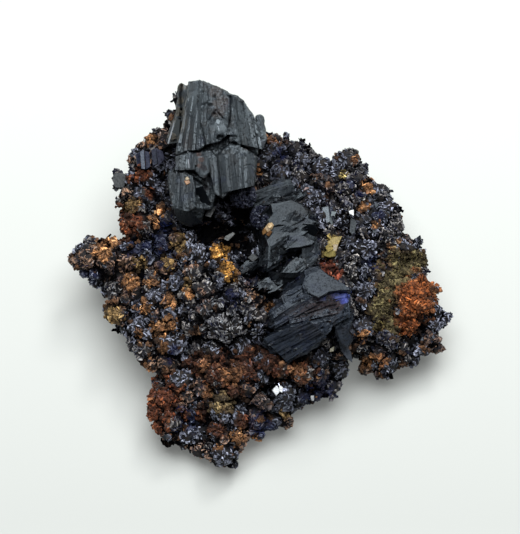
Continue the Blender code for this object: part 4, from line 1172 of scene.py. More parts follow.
def grain_material():
    """Dull iron oxide, paler on the edges and tips by a painted highlight, and darker where sunk in
    creases by painted shade.
    """
    shader = Shader("iron_grains")
    grain = shader.noise(0.22, detail=4, rough=0.7)
    tone = shader.attribute("stain", "Color")
    dark = shader.mix(0.82, tone, IRON_BLACK)
    # Painted highlight: the edges and tips are paler.
    edge = shader.attribute("rim") * shader.attribute("reach").above(0.4, 0.8) * 0.7
    tone = shader.mix(edge, tone, shader.mix(1.0, tone, (2.0, 2.1, 2.1), "MULTIPLY"))
    return shader.finish(
        Base_Color=shader.mix(grain.above(0.42, 0.60) + edge * 0.6, dark, tone),
        Roughness=0.72 + grain * 0.2,
        IOR=IRON_IOR,
        Normal=shader.bump(grain, 0.15, 0.9),
        sunk=shader.attribute("sunk"),
    )


# ---------------------------------------------------------------- building large crystals
def ragged_outline(corners, rng, unevenness, step=0.55):
    """The outline with its edges broken into short irregular steps."""
    points = []
    corners = np.array(corners, float)
    for a, b in zip(corners, np.roll(corners, -1, axis=0)):
        steps = max(1, int(np.linalg.norm(b - a) / step))
        side = np.array((a[1] - b[1], b[0] - a[0])) / max(np.linalg.norm(b - a), 1e-6)
        for i in range(steps):
            share = (i + (rng.uniform(-0.3, 0.3) if i else 0)) / steps
            points.append(a + (b - a) * share + side * rng.uniform(-1, 1) * unevenness)
    return np.array(points)


def block(
    corners, height, tilt, depth, rng, unevenness, drop=0.0, lean=(0.0, 0.0), step=0.55, darkest=0.0
):
    """A solid block whose front face is the outline, tilted, and which goes back to its depth."""
    outline = ragged_outline(corners, rng, unevenness, step)
    heights = height - drop + (outline - middle_of(corners)) @ np.array(tilt)
    front = np.array([from_display(x, y, z) for (x, y), z in zip(outline, heights)])
    obj = extruded(front * MM, Vector(from_display(*lean, drop - depth) * MM))
    store(obj, "own", np.full(len(obj.data.vertices), rng.uniform(darkest, 1)))
    return obj


def merged_blocks(name, blocks, sink, unevenness, ledges, lean):
    """Grows all the blocks into one solid, each with a few ledges round its edge."""
    rng = chance(name + "_blocks")
    made = []
    for corners, height, tilt, depth in blocks:
        middle = middle_of(corners)
        for ledge in range(ledges + 1):
            shift = rng.normal(0, 0.12, 2) * ledge
            grown = (np.array(corners, float) - middle) * (1 + 0.05 * ledge) + middle + shift
            drop = ledge * 0.45
            made.append(block(grown, height - sink, tilt, depth, rng, unevenness, drop, lean))
    crystal = rename(join(made), name)
    add_voxels(crystal, bpy.context.scene.specimen.crystal_cell)
    smooth = crystal.modifiers.new("worn", "SMOOTH")
    smooth.factor = 0.5
    smooth.iterations = 1
    apply_modifiers(crystal)
    store(crystal, "own", np.full(len(crystal.data.vertices), 0.6))
    return crystal


def own_shade(crystal):
    """How dark each plate and strip is by itself, from 0 to 0.5."""
    return np.clip(0.5 - read(crystal.data.attributes["own"].data, "value"), 0, 1)


def chip_on(plate, slant, rng):
    """A small slanting chip that stands a little proud of a plate."""
    corners, height, tilt, _ = plate
    share = rng.random(len(corners)) ** 3
    at = (np.array(corners) * share[:, None]).sum(0) / share.sum()
    turn = np.sort(rng.uniform(0, 2 * math.pi, 5))
    length, width = np.cos(turn) * rng.uniform(0.5, 1.7), np.sin(turn) * rng.uniform(0.15, 0.5)
    c, s = math.cos(slant), math.sin(slant)
    chip = at + np.stack([length, width], axis=1) @ np.array([[c, s], [-s, c]])
    level = height + (at - middle_of(corners)) @ np.array(tilt) + rng.uniform(0.02, 0.12)
    turned = np.array(tilt) + rng.normal(0, 0.14, 2)
    return block(chip, level, turned, 0.6, rng, 0.02, step=2.0, darkest=0.3)


def add_plates(crystal, plates, ledges, chips, slant, lean):
    """Joins crisp plates to a crystal, each with thin ledges below it and slanting chips on it."""
    rng = chance(crystal.name + "_plates")
    made = []
    for plate in plates:
        corners, height, tilt, depth = plate
        middle = middle_of(corners)
        for ledge in range(ledges + 1):
            shift = rng.normal(0, 0.08, 2) * ledge
            grown = (np.array(corners, float) - middle) * (1 + 0.06 * ledge) + middle + shift
            turned = np.array(tilt) + rng.normal(0, 0.07, 2) * ledge
            drop = ledge * 0.24
            made.append(block(grown, height, turned, depth, rng, 0.05, drop, lean, step=0.8))
        made += [chip_on(plate, slant, rng) for _ in range(chips)]
    join([crystal, *made])


def add_lines(crystal, faces):
    """Joins long narrow strips to a crystal, side by side and broken across in places."""
    rng = chance(crystal.name + "_lines")
    made = []
    for *ends, count, height, tilt, uneven in faces:
        near_a, near_b, far_a, far_b = (np.array(end) for end in ends)
        middle = (near_a + near_b + far_a + far_b) / 4
        sideways = unit((near_b + far_b - near_a - far_a)[None])[0]
        inner = (np.arange(1, count) + rng.uniform(-0.3, 0.3, count - 1)) / count
        edges = np.sort(np.concatenate([[0, 1], inner]))
        for low, high in zip(edges[:-1], edges[1:]):
            level, turn = rng.uniform(-1, 1) * uneven, rng.uniform(-0.4, 0.4)
            inner = rng.uniform(0.05, 0.95, rng.integers(0, 3))
            breaks = np.sort(np.concatenate([[0, 1], inner]))
            for start, end in zip(breaks[:-1], breaks[1:]):
                corners = []
                for share, along in ((low, start), (low, end), (high, end), (high, start)):
                    near = near_a + (near_b - near_a) * share
                    far = far_a + (far_b - far_a) * share
                    corners.append(near + (far - near) * along)
                step = level + rng.uniform(-0.05, 0.05)
                top = height + (np.mean(corners, axis=0) - middle) @ np.array(tilt) + step
                turned = np.array(tilt) + sideways * turn
                made.append(block(corners, top, turned, 1.0, rng, 0.02, step=1.2))
    join([crystal, *made])


def face_share(points, faces, margin, thickness):
    """1 on the faces, each given as its corners, height and tilt, and 0 away from them."""
    across, up = to_display(points)
    share = np.zeros(len(points))
    for corners, height, tilt in faces:
        middle = middle_of(corners)
        plane = height + (across - middle[0]) * tilt[0] + (up - middle[1]) * tilt[1]
        reach = np.max(np.linalg.norm(np.array(corners) - middle, axis=1))
        near = np.hypot(across - middle[0], up - middle[1]) < reach + margin
        share = np.maximum(share, near * (np.abs(points[:, 2] - plane) < thickness))
    return share


def flat_share(points, plates):
    """1 on the front faces of the plates and 0 on their sides."""
    return face_share(points, [plate[:3] for plate in plates], PLATE_MARGIN, PLATE_THICKNESS)


def lined_share(points, faces):
    """1 on the lined faces and 0 away from them."""
    rows = [(ends, height, tilt) for *ends, _, height, tilt, _ in faces]
    return face_share(points, rows, 0, LINE_THICKNESS)


def along_ridges(points, apex, stretch):
    """Places on a crystal, squeezed along the lines that run to its apex."""
    apex = from_display(*apex)
    away = points - apex
    reach = np.linalg.norm(away, axis=1, keepdims=True)
    typical = np.median(reach)
    axis = unit(away.mean(axis=0, keepdims=True))
    return away / reach * typical + axis * (reach - typical) / stretch


def near_lines(points, lines):
    """How deep each point is sunk by the cracks."""
    across, up = to_display(points)
    sunk = np.zeros(len(points))
    for corners, half_width, depth in lines:
        for (ax, ay), (bx, by) in zip(corners[:-1], corners[1:]):
            dx, dy = bx - ax, by - ay
            share = np.clip(((across - ax) * dx + (up - ay) * dy) / (dx * dx + dy * dy), 0, 1)
            gap = np.hypot(across - ax - share * dx, up - ay - share * dy)
            sunk = np.maximum(sunk, depth * np.clip(1.5 - gap / half_width, 0, 1))
    return sunk


def ridge_crystal(obj, apex, calm, amount, cracks=()):
    """Cuts ridges, pits and cracks into a large crystal; calm is 1 where it is flat."""
    points, normals = places(obj), outward(obj)
    wander = (value_noise(points, 2.6, 61)[:, None] - 0.5) * 0.5
    broad = along_ridges(points, apex, BROAD_RIDGE) + wander
    ridges = (cell_noise(broad, 0.95, 1) - 0.5) * 0.20
    ridges += (cell_noise(broad, 0.47, 2) - 0.5) * 0.16
    ridges += (value_noise(along_ridges(points, apex, FINE_RIDGE), 0.30, 3) - 0.5) * 0.20
    waves = (value_noise(points, 2.2, 4) - 0.5) * 0.4
    pits = np.clip(value_noise(points, 0.55, 5) - 0.66, 0, 1) * 1.6
    etched = value_noise(points, 3.4, 6) > 0.5
    pits = pits * (0.25 + 0.75 * etched) * (1 - 0.6 * calm)
    lift = amount * (ridges * (1 - 0.85 * calm) + waves * 0.5) - pits
    move_points(obj, points + normals * (lift - near_lines(points, cracks))[:, None])


def crystal_finish(obj, look, grain, tint, films, calm, sunk):
    """Stores what a large crystal's material reads, and mounts the crystal."""
    spots = places(obj)
    dusted = np.clip((value_noise(spots, 0.9, 19) - 0.62) / 0.1, 0, 1) * 0.35
    colour, cover = covered(spots, films, np.tile(GREY_BROWN, (len(spots), 1)), dusted)
    facing = np.clip(outward(obj) @ TOWARDS_VIEWER * 3, 0, 1)
    store(obj, "tint", tint)
    store(obj, "stain", colour)
    store(obj, "cover", cover)
    store(obj, "calm", calm)
    store(obj, "sunk", np.clip(sunk, 0, 1))
    store(obj, "blue", zone_share(spots, VIVID_BLUE) * facing)
    layer = obj.data.attributes.new("grain", "FLOAT_VECTOR", "POINT")
    layer.data.foreach_set("vector", (grain * MM).astype(np.float32).ravel())
    alone(obj)
    bpy.ops.object.shade_smooth_by_angle(angle=SMOOTH_ANGLE)
    gloss = bpy.context.scene.specimen.gloss
    material = large_crystal_material(obj.name + "_azurite", gloss, *look)
    mount_piece(obj, material, obj.name + "_crystal", obj.name + "_crystal")


# ---------------------------------------------------------------- settings
class SPECIMEN_PG_settings(bpy.types.PropertyGroup):
    """What a user would change about the specimen."""

    rock_cell: bpy.props.FloatProperty(
        name="Rock Detail", description="Cell size of the rock's mesh, in millimetres",
        default=0.34, min=0.2, max=1.0,
    )
    crystal_cell: bpy.props.FloatProperty(
        name="Crystal Detail",
        description="Cell size of the large crystals' meshes, in millimetres",
        default=0.13, min=0.1, max=1.0,
    )
    crust_count: bpy.props.IntProperty(
        name="Crust Crystals", description="How many small crystals the crust has",
        default=32000, min=100, max=60000,
    )
    crust_length: bpy.props.FloatProperty(
        name="Crust Crystal Length", description="Mean length of a crust crystal, in millimetres",
        default=1.0, min=0.3, max=4.0,
    )
    grain_count: bpy.props.IntProperty(
        name="Iron Grains", description="How many grains the iron-stained patches have",
        default=17000, min=100, max=40000,
    )
    gloss: bpy.props.FloatProperty(
        name="Crystal Roughness", description="Roughness of the large crystals' faces",
        default=0.20, min=0.0, max=1.0, subtype="FACTOR",
    )


class SPECIMEN_PG_stage(bpy.types.PropertyGroup):
    """What a user would change about the studio."""

    floor_colour: bpy.props.FloatVectorProperty(
        name="Floor", description="Colour of the floor", subtype="COLOR",
        default=(0.89, 0.92, 0.89), min=0, max=1,
    )
    floor_glow: bpy.props.FloatProperty(
        name="Floor Glow",
        description="How much light the floor gives by itself, which softens shadows",
        default=0.16, min=0, max=1,
    )
    sky_strength: bpy.props.FloatProperty(
        name="Surrounding Light", description="Strength of the soft light from all round",
        default=0.03, min=0, max=10,
    )
    key_power: bpy.props.FloatProperty(
        name="Main Light", description="Power of the large lamp above and behind",
        default=22.0, min=0, max=100, subtype="POWER",
    )
    camera_distance: bpy.props.FloatProperty(
        name="Camera Distance", description="Distance from the camera to the specimen",
        default=2.4, min=0.1, max=10, subtype="DISTANCE",
    )


# ---------------------------------------------------------------- steps
class SPECIMEN_OT_rock(bpy.types.Operator):
    """Builds the rough rock with its flat underside"""

    bl_idname = "specimen.build_rock"
    bl_label = "Build Rock"

    def execute(self, context):
        alone(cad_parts["matrix"])
        bpy.ops.object.duplicate()
        rock = rename(context.object, "rock")
        rock.parent = None
        for key in list(rock.keys()):
            del rock[key]
        bpy.ops.object.mode_set(mode="EDIT")
        bpy.ops.mesh.select_all(action="SELECT")
        bpy.ops.mesh.remove_doubles(threshold=0.01 * MM)
        bpy.ops.object.mode_set(mode="OBJECT")
        add_voxels(rock, context.scene.specimen.rock_cell)
        apply_modifiers(rock)
        before = places(rock)
        _, crease = lump_of(before)
        lift = dome_lift(before) - 0.35 - 0.5 * crease - 1.1 * zone_share(before, HOLLOW)
        lift -= 1.3 * zone_share(before, BARE)
        move_points(rock, before + outward(rock) * lift[:, None])
        both_ways = {"middle": 0.3, "weight_1": -1, "weight_2": 1}
        roughen(rock, "rock_lumps", "VORONOI", 2.0, 0.9, **both_ways)
        roughen(rock, "rock_knobs", "VORONOI", 0.9, 0.45, **both_ways)
        roughen(rock, "rock_grit", "CLOUDS", 0.45, 0.3, noise_depth=2)
        apply_modifiers(rock)
        after = np.clip(places(rock), ROOM[0], ROOM[1])
        after[:, 2] = np.where(before[:, 2] < 0.25, 0.0, np.maximum(after[:, 2], 0.0))
        move_points(rock, after)
        bpy.ops.object.shade_smooth()
        colour, cover = stain(after)
        store(rock, "stain", colour)
        store(rock, "cover", cover)
        blue = np.maximum(zone_share(after, VIVID_BLUE), zone_share(after, NAVY) * 0.6)
        store(rock, "blue", blue)
        store(rock, "shade", np.maximum(zone_share(after, HOLLOW), crease))
        mount_piece(rock, rock_material(), "matrix", "matrix")
        return {"FINISHED"}


def crust_values(at, lump, crease, wing, rng):
    """What the crust's material reads on the crystals at these places."""
    count = len(at)
    across, up = to_display(at)
    colour, cover = stain(at)
    hollow, glint, navy = (zone_share(at, zones) for zones in (HOLLOW, GLINT, NAVY))
    stained = (rng.random(count) < cover * (1 - 0.9 * navy)).astype(float)
    rusty = 0.15 + 0.13 * np.clip(np.maximum(-7 - across, -9 - up) / 4, 0, 1)
    rusty *= zone_share(at, PALE_DUST_AND_SHEEN + ROSETTE) < 0.3
    own = chance("lump_tones").random((len(knob_sites()), 4))[lump]
    # Painted shade: the crust's colours are darker in the creases between the rock's lumps.
    light = 1 - 0.9 * crease
    cool = np.where((own[:, 1] + 0.25 * wing > 0.68)[:, None], GREY_DUST_AND_SHEEN, BLUE_DUST_AND_SHEEN)
    cool = np.where((zone_share(at, ROSETTE) > 0.3)[:, None], ROSETTE_DUST_AND_SHEEN, cool)
    cool = cool * (1.05 + 0.35 * wing)[:, None]
    warm = np.array(RUSTY_DUST_AND_SHEEN) * (1.05 - 0.35 * wing)[:, None]
    hue = np.where((own[:, 0] < rusty)[:, None], warm, cool)
    tint = np.clip(0.15 + own[:, 2] ** 1.5 * 0.7 + rng.random(count) * 0.3, 0, 1)
    blue = zone_share(at, VIVID_BLUE) * 1.5 + navy * 0.8 + own[:, 1] ** 3 * 0.6 * light
    uneven = rng.uniform(0.3, 1.3, count) * (0.3 + 1.4 * value_noise(at, 0.9, 39)) * light
    # Painted shade in the creases and hollows darkens sunk, tint, blue, stain and the dust and
    # sheen.
    return {
        "sunk": np.maximum(crease * 0.92, 0.6 * hollow),
        "tint": tint * (1 - 0.85 * hollow) * light,
        "blue": np.clip(blue, 0, 1.5) * (1 - hollow),
        "stain": colour * uneven[:, None],
        "cover": stained * rng.uniform(0.5, 1.0, count),
        "dust": np.clip(
            (0.45 + 0.55 * rng.random(count))
            * (0.45 + 0.85 * own[:, 3] + zone_share(at, PALE_DUST_AND_SHEEN))
            # Painted light: paler towards the left.
            * (1 + 0.3 * np.clip(-across / 15, 0, 1))
            * (1 - hollow) * light * (1 - 0.85 * navy) * (1 - 0.55 * zone_share(at, DIM))
            # Painted glints: the glint zones are whitened.
            + glint * 3, 0, 1
        ),
        "dust_tone": hue * (0.75 + 1.2 * rng.random(count) ** 3)[:, None]
        # Painted glints: the glint zones whiten the tone.
        * (1 + 5 * glint[:, None]),
    }


class SPECIMEN_OT_crust(bpy.types.Operator):
    """Grows the crust of small azurite crystals on the rock, in rosettes"""

    bl_idname = "specimen.grow_crust"
    bl_label = "Grow Crust"

    def execute(self, context):
        settings = context.scene.specimen
        rng = chance("crust")

        def wanted(at, normal):
            _, cover = stain(at)
            seen = np.where((at[:, 2] < 0.5) & (normal[:, 2] < -0.5), 0.0, 1.0)
            return seen * np.clip(1.1 - 0.95 * cover - 0.4 * zone_share(at, EARTHY), 0.02, 1)

        at, normal = scatter(bpy.data.objects["rock"], settings.crust_count, rng, wanted)
        keep = at[:, 2] > TABLE_GAP
        keep &= rng.random(len(at)) > 0.75 * zone_share(at, HOLLOW)
        keep &= zone_share(at, BARE) < 0.5
        for node in LARGE_CRYSTALS:
            keep &= clearance(at, node) > 0.5
        at, normal = at[keep], normal[keep]
        count = len(at)
        across, up = to_display(at)
        lump, crease = lump_of(at)
        # The right wing's crystals are narrower, more tangled and stand out more.
        wing = np.clip((across - 4) / 6, 0, 1) * 0.7 + 0.3 * (value_noise(at, 2.5, 50) > 0.55)
        facing = np.clip(normal @ TOWARDS_VIEWER * 1.6, 0, 1)
        length = settings.crust_length * rng.uniform(0.6, 1.2, count) * (0.6 + 0.4 * facing)
        shown = rng.uniform(0.08, 0.32, count) + 0.22 * wing * rng.random(count)
        shown += (rng.random(count) < 0.03 + 0.03 * wing) * 0.35
        shown *= 0.35 + 0.65 * facing
        out = unit(at - knob_sites()[lump, :3]) * 0.6 + normal * 0.6
        out = unit(out + rng.normal(0, 1, (count, 3)) * (0.10 + 0.22 * wing)[:, None])
        swirl = np.stack([value_noise(at, 2.2, seed) - 0.5 for seed in (51, 52, 53)], axis=1)
        swirl += rng.normal(0, 1, (count, 3)) * (0.03 + 0.20 * wing)[:, None]
        axes = frames_along(out, swirl, rng.normal(0, 0.15, count))
        width = length * rng.uniform(0.45, 1.0, count) * (1 - 0.3 * wing)
        thick = np.clip(width * rng.uniform(0.14, 0.28, count), 0.10, 0.20)
        values = crust_values(at, lump, crease, wing, rng)
        seeds = plate_seeds()
        kinds = rng.integers(0, len(seeds), count)
        foot, left, middle = up < -9, across < -8, across < 6.0
        parts = {
            "crust_left": ~foot & left,
            "crust_middle": ~foot & ~left & middle,
            "crust_right": ~foot & ~left & ~middle,
            "crust_foot": foot,
        }
        mount_copies(
            parts, crust_material(), seeds, kinds, at - out * (length - shown)[:, None], axes,
            np.stack([width, thick, length], axis=1), values,
        )
        return {"FINISHED"}


class SPECIMEN_OT_grains(bpy.types.Operator):
    """Adds the rough iron grains on the stained patches"""

    bl_idname = "specimen.add_iron_grains"
    bl_label = "Add Iron Grains"

    def execute(self, context):
        rock = bpy.data.objects["rock"]
        rng = chance("grains")

        def wanted(at, normal):
            _, cover = stain(at)
            return cover ** 2 * (at[:, 2] > 0.6) + 1e-6

        at, normal = scatter(rock, context.scene.specimen.grain_count, rng, wanted)
        keep = at[:, 2] > TABLE_GAP
        for node in LARGE_CRYSTALS:
            keep &= clearance(at, node) > 0.4
        at, normal = at[keep], normal[keep]
        count = len(at)
        size = rng.uniform(0.18, 0.46, count) + rng.random(count) ** 5 * 0.5
        along, towards = rng.normal(0, 1, (count, 3)), rng.normal(0, 1, (count, 3))
        axes = frames_along(along, towards, np.zeros(count))
        sizes = size[:, None] * rng.uniform(0.6, 1.35, (count, 3))
        lift = size * rng.uniform(-0.2, 0.3, count) + rng.random(count) ** 3 * 0.4
        origins = at + normal * lift[:, None]
        colour, _ = stain(at)
        _, crease = lump_of(at)
        limonite = zone_share(at, LIMONITE_CORE + LIMONITE_RIM)
        crease = crease * (1 - 0.75 * limonite)
        # Painted shade: grains in the creases between lumps are darker.
        shade = (rng.uniform(0.25, 1.0, count) + rng.random(count) ** 5 * 0.9) * (1 - 0.85 * crease)
        patchy = 0.10 + 1.5 * value_noise(at, 0.8, 37) ** 1.6 + 1.3 * value_noise(at, 0.42, 38) ** 2
        even = 0.6 * limonite
        shade *= patchy * (1 - even) + even
        pale = (colour.mean(1) * (shade > 0.9) * (rng.random(count) < 0.3))[:, None]
        pale = pale * (0.6, 0.45, 0.25)
        seeds = [grain_seed(), *plate_seeds()]
        kinds = rng.choice(len(seeds), size=count, p=(0.76, 0.08, 0.07, 0.02, 0.07))
        # Some grains are small leaves that stand on their edges.
        leaf = kinds > 0
        length = np.clip(size * 1.7, 0.3, 0.9)
        width, thick = rng.uniform(0.6, 1.1, count), rng.uniform(0.14, 0.3, count)
        leafy = np.stack([length * width, length * thick, length], axis=1)
        sizes = np.where(leaf[:, None], leafy, sizes)
        out = unit(normal + rng.normal(0, 0.45, (count, 3)))
        upright = frames_along(out, rng.normal(0, 1, (count, 3)), np.zeros(count))
        axes = np.where(leaf[:, None, None], upright, axes)
        origins = np.where(leaf[:, None], at - out * (length * 0.45)[:, None], origins)
        values = {"stain": colour * shade[:, None] + pale, "sunk": crease * 0.9}
        right = at[:, 0] > np.median(at[:, 0])
        parts = {"iron_grains_left": ~right, "iron_grains_right": right}
        mount_copies(parts, grain_material(), seeds, kinds, origins, axes, sizes, values)
        return {"FINISHED"}


class SPECIMEN_OT_trunk(bpy.types.Operator):
    """Builds the tall ridged crystal"""

    bl_idname = "specimen.build_trunk"
    bl_label = "Build Trunk"

    def execute(self, context):
        trunk = merged_blocks("trunk", TRUNK_BLOCKS, 0, 0.05, 0, (0, 0))
        calm = np.maximum(zone_share(places(trunk), TRUNK_SMOOTH, soft=0.6), 0.15)
        ridge_crystal(trunk, TRUNK_APEX, calm, 1.0, TRUNK_CRACKS)
        add_lines(trunk, TRUNK_LINES)
        spots = places(trunk)
        calm = np.maximum(zone_share(spots, TRUNK_SMOOTH, soft=0.6), 0.25)
        grain = along_ridges(spots, TRUNK_APEX, FINE_RIDGE)
        # Painted shade in the cracks; the trunk is also darker towards its lower end.
        low = np.clip((15 - to_display(spots)[1]) / 3, 0, 1)
        cracked = np.clip(near_lines(spots, TRUNK_CRACKS) * 4, 0, 1)
        sunk = np.maximum(np.maximum(cracked, own_shade(trunk) * 0.8), 0.35 * low)
        # Painted sheen: paler in the pale zones, on the bright columns and round the glints.
        pale = zone_share(spots, TRUNK_PALE, soft=0.8) * (0.4 + 0.9 * value_noise(grain, 0.5, 10))
        tint = 0.20 + 0.30 * value_noise(grain, 0.8, 9) + pale - 0.1 * low
        crystal_finish(trunk, TRUNK_LOOK, grain, tint, TRUNK_FILMS, calm, sunk)
        return {"FINISHED"}


class SPECIMEN_OT_fan(bpy.types.Operator):
    """Builds the fan of flat blades"""

    bl_idname = "specimen.build_fan"
    bl_label = "Build Fan"

    def execute(self, context):
        fan = merged_blocks("fan", FAN_BLOCKS, 0.7, 0.14, 1, (-0.6, -1.0))
        ridge_crystal(fan, FAN_APEX, 0, 1.2)
        add_plates(fan, FAN_PLATES, 2, 12, math.radians(35), (-0.2, -0.5))
        add_lines(fan, FAN_LINES)
        spots = places(fan)
        calm, lined = flat_share(spots, FAN_PLATES), lined_share(spots, FAN_LINES)
        grain = along_ridges(spots, FAN_APEX, FINE_RIDGE)
        tint = 0.1 + 0.25 * calm + 0.5 * value_noise(grain, 0.6, 9)
        tint = tint + 1.3 * lined * value_noise(grain, 0.35, 14)
        # Painted shade: the sides of the plates and the rough base under them are darker.
        sunk = (1 - calm) * (0.35 + 0.9 * value_noise(grain, 0.5, 12)) - 0.9 * lined
        sunk = np.maximum(sunk, own_shade(fan) * 1.3)
        crystal_finish(fan, FAN_LOOK, grain, tint, [], calm, sunk)
        return {"FINISHED"}


class SPECIMEN_OT_sheaf(bpy.types.Operator):
    """Builds the ribbed sheaf"""

    bl_idname = "specimen.build_sheaf"
    bl_label = "Build Sheaf"

    def execute(self, context):
        sheaf = merged_blocks("sheaf", SHEAF_BLOCKS, 0.5, 0.14, 1, (0, 0))
        ridge_crystal(sheaf, SHEAF_APEX, 0, 0.8)
        add_plates(sheaf, SHEAF_PLATES, 2, 1, math.radians(32), (-0.1, -0.4))
        add_lines(sheaf, SHEAF_LINES)
        spots = places(sheaf)
        # Only the two topmost plates are the calm facet.
        calm, lined = flat_share(spots, SHEAF_PLATES[:2]), lined_share(spots, SHEAF_LINES)
        grain = along_ridges(spots, SHEAF_APEX, FINE_RIDGE)
        _, up = to_display(spots)
        tint = 0.6 * value_noise(grain, 0.6, 9) * np.clip((up + 9) / 5, 0.8, 1)
        tint = 0.15 + 0.05 * calm + tint
        sunk = (1 - calm) * 0.8 * value_noise(grain, 0.5, 12) - 0.6 * lined
        sunk = np.maximum(sunk, own_shade(sheaf) * 1.1 * (1 - calm) + 0.62 * calm)
        crystal_finish(sheaf, SHEAF_LOOK, grain, tint, SHEAF_FILMS, calm, sunk)
        return {"FINISHED"}


class SPECIMEN_OT_blades(bpy.types.Operator):
    """Sets thin blades on the rough parts of the large crystals"""

    bl_idname = "specimen.add_blades"
    bl_label = "Add Blades"

    def execute(self, context):
        rng = chance("blades")
        material = crust_material()
        seeds = plate_seeds()

        def wanted(at, normal):
            return np.where(normal @ TOWARDS_VIEWER > -0.3, 1.0, 0.1)

        for name, apex, count, paleness in BLADED:
            crystal = bpy.data.objects[name]
            rough = places(crystal)[read(crystal.data.attributes["calm"].data, "value") < 0.3]
            at, normal = scatter(crystal, count, rng, wanted)
            patchy = value_noise(at, 1.6, 73) + rng.uniform(-0.2, 0.2, len(at))
            keep = (gap_to(at, rough) < 0.25) & (patchy > 0.42)
            at, normal = at[keep], normal[keep]
            count = len(at)
            sign = np.where(rng.random(count) < 0.5, 1, -1)[:, None]
            along = unit(at - from_display(*apex)) * sign
            out = along + normal * rng.uniform(0.05, 0.5, count)[:, None]
            out = unit(out + rng.normal(0, 0.15, (count, 3)))
            length = rng.uniform(0.3, 0.85, count)
            width, thick = length * rng.uniform(0.25, 0.6, count), rng.uniform(0.06, 0.16, count)
            axes = frames_along(out, normal, rng.normal(0, 0.9, count))
            values = {
                "sunk": np.zeros(count),
                "tint": rng.random(count) ** 2 * 0.8,
                "blue": (rng.random(count) < 0.15) * 0.3,
                "stain": np.tile((0.05, 0.03, 0.02), (count, 1)),
                "cover": (rng.random(count) < 0.08) * 0.7,
                "dust": rng.random(count) * paleness,
                "dust_tone": np.array(BLADE_DUST_AND_SHEEN) * rng.uniform(0.5, 1.4, count)[:, None],
            }
            blades = copies(
                name + "_blades", seeds, rng.choice(len(seeds), size=count),
                at - out * (length * 0.4)[:, None], axes,
                np.stack([width, thick, length], axis=1), values,
            )
            mount_piece(blades, material, name + "_crystal")
        return {"FINISHED"}


class SPECIMEN_OT_balls(bpy.types.Operator):
    """Grows the balls of tiny blue crystals"""

    bl_idname = "specimen.grow_balls"
    bl_label = "Grow Balls"

    def execute(self, context):
        rng = chance("balls")
        origins, outs, lengths = [], [], []
        for across, up, height, radius in BLUE_BALLS:
            out = unit(rng.normal(0, 1, (700, 3)))
            out = out[out @ TOWARDS_VIEWER > -0.6]
            lengths.append(rng.uniform(0.35, 0.7, len(out)))
            origins.append(from_display(across, up, height) + out * (radius - 0.45))
            outs.append(unit(out + rng.normal(0, 0.3, out.shape)))
        origins, outs, lengths = (np.concatenate(rows) for rows in (origins, outs, lengths))
        count = len(origins)
        width = lengths * rng.uniform(0.5, 0.9, count)
        values = {
            "sunk": np.zeros(count),
            "tint": rng.random(count),
            "blue": np.full(count, 0.25),
            "stain": np.full((count, 3), 0.02),
            "cover": np.zeros(count),
            "dust": rng.random(count) * 0.7,
            "dust_tone": np.array(BALL_DUST_AND_SHEEN) * rng.uniform(0.5, 1.5, count)[:, None],
        }
        seeds = [*plate_seeds(), prism_seed()]
        balls = copies(
            "blue_balls", seeds, rng.choice(len(seeds), size=count), origins,
            frames_along(outs, rng.normal(0, 1, (count, 3)), np.zeros(count)),
            np.stack([width, width * 0.3, lengths], axis=1), values,
        )
        mount_piece(balls, bpy.data.materials["azurite_crust"], "matrix")
        return {"FINISHED"}


class SPECIMEN_OT_loose(bpy.types.Operator):
    """Sets single small crystals on the rock and in the hollow, and small blocks that paint glints,
    a highlight and shade
    """

    bl_idname = "specimen.add_loose_crystals"
    bl_label = "Add Loose Crystals"

    def execute(self, context):
        rng = chance("loose")
        rock = bpy.data.objects["rock"]
        made = []
        for corners, lift, tilt, depth, tone in LOOSE_BLOCKS:
            middle = middle_of(corners)
            points = (on_the_rock(rock, *middle), *on_crystals(*middle))
            seat = max(points, key=lambda point: point[2])
            shift = np.array((seat[0], seat @ UP)) - middle
            moved = np.array(corners) + shift
            obj = block(moved, seat[2] + lift, tilt, depth, rng, 0.0, step=9.0)
            store(obj, "tone", np.tile(tone, (len(obj.data.vertices), 1)))
            made.append(obj)
        loose = rename(join(made), "loose_crystals")
        bevel = loose.modifiers.new("worn_edges", "BEVEL")
        bevel.width = 0.06 * MM
        bevel.segments = 1
        apply_modifiers(loose)
        loose.data.shade_flat()
        mount_piece(loose, loose_material(context.scene.specimen.gloss), "matrix")
        return {"FINISHED"}


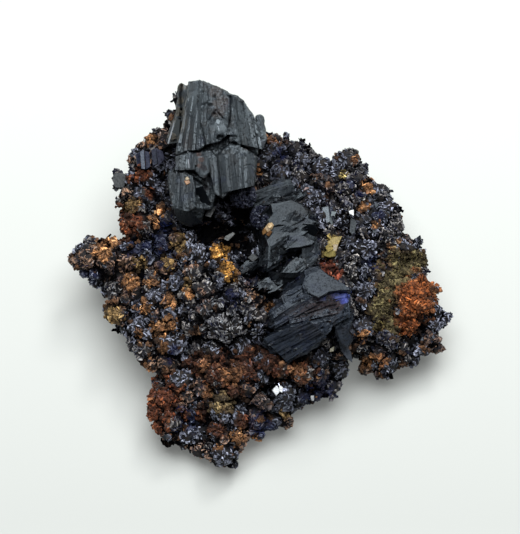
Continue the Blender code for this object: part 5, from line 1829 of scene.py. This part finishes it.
class SPECIMEN_OT_stage(bpy.types.Operator):
    """Sets the pale floor, the soft lights and the camera"""

    bl_idname = "specimen.set_stage"
    bl_label = "Set Stage"

    def execute(self, context):
        stage = context.scene.specimen_stage
        bpy.ops.object.select_all(action="DESELECT")
        bpy.ops.mesh.primitive_plane_add(size=4, location=(0, 0, 0))
        floor = rename(context.object, "floor")
        paper = Shader("pale_floor")
        behind = paper.node(
            "ShaderNodeSeparateXYZ", None, {"Vector": paper.coordinates()}, out="Y"
        ).above(-FLOOR_TURN, FLOOR_TURN)
        near, far = (tuple(share * c for c in stage.floor_colour) for share in FLOOR_PAINTED_SHADES)
        floor.data.materials.append(paper.finish(
            Base_Color=paper.mix(behind, near, far), Roughness=0.9,
            Emission_Color=tuple(stage.floor_colour), Emission_Strength=stage.floor_glow,
        ))

        world = bpy.data.worlds.new("soft_light")
        context.scene.world = world
        world.use_nodes = True
        back = world.node_tree.nodes["Background"]
        back.inputs["Color"].default_value = (*SKY_COLOUR, 1)
        back.inputs["Strength"].default_value = stage.sky_strength

        aim = Vector(from_display(*AIM, 0)) * MM
        for name, place, size, power, tone in LAMPS:
            bpy.ops.object.light_add(type="AREA", location=place)
            lamp = rename(context.object, name)
            lamp.data.shape = "DISK"
            lamp.data.size = size
            lamp.data.energy = stage.key_power * power
            lamp.data.color = tone
            lamp.rotation_euler = (aim - Vector(place)).to_track_quat("-Z", "Y").to_euler()

        middle = Vector(ACROSS * AIM[0] + UP * AIM[1]) * MM
        bpy.ops.object.camera_add(
            location=middle + Vector(TOWARDS_VIEWER) * stage.camera_distance,
            rotation=(math.pi / 2 - ELEVATION, 0, 0),
        )
        camera = context.object
        camera.data.sensor_width = 36
        frame_height = IMAGE_ROWS * MM_PER_ROW * MM
        camera.data.lens = camera.data.sensor_width * stage.camera_distance / frame_height
        camera.data.clip_start = 0.01
        context.scene.camera = camera
        context.scene.view_settings.view_transform = "Standard"
        return {"FINISHED"}


PIECES = (
    "build_rock", "grow_crust", "add_iron_grains", "build_trunk", "build_fan", "build_sheaf",
    "add_blades", "grow_balls", "add_loose_crystals",
)


class SPECIMEN_PT_panel(bpy.types.Panel):
    """Lists the specimen's settings and steps"""

    bl_idname = "SPECIMEN_PT_panel"
    bl_label = "Azurite Specimen"
    bl_space_type = "VIEW_3D"
    bl_region_type = "UI"
    bl_category = "Specimen"

    def draw(self, context):
        for group in (context.scene.specimen, context.scene.specimen_stage):
            for key in group.__annotations__:
                self.layout.prop(group, key)
        for step in (*PIECES, "set_stage"):
            self.layout.operator(f"specimen.{step}")


CLASSES = (
    SPECIMEN_PG_settings, SPECIMEN_PG_stage, SPECIMEN_OT_rock, SPECIMEN_OT_crust,
    SPECIMEN_OT_grains, SPECIMEN_OT_trunk, SPECIMEN_OT_fan, SPECIMEN_OT_sheaf,
    SPECIMEN_OT_blades, SPECIMEN_OT_balls, SPECIMEN_OT_loose, SPECIMEN_OT_stage,
    SPECIMEN_PT_panel,
)


def register():
    for cls in CLASSES:
        bpy.utils.register_class(cls)
    bpy.types.Scene.specimen = bpy.props.PointerProperty(type=SPECIMEN_PG_settings)
    bpy.types.Scene.specimen_stage = bpy.props.PointerProperty(type=SPECIMEN_PG_stage)


def unregister():
    del bpy.types.Scene.specimen_stage
    del bpy.types.Scene.specimen
    for cls in reversed(CLASSES):
        bpy.utils.unregister_class(cls)


def main():
    register()
    bpy.ops.specimen.set_stage()
    for step in PIECES:
        getattr(bpy.ops.specimen, step)()


if __name__ == "__main__":
    main()
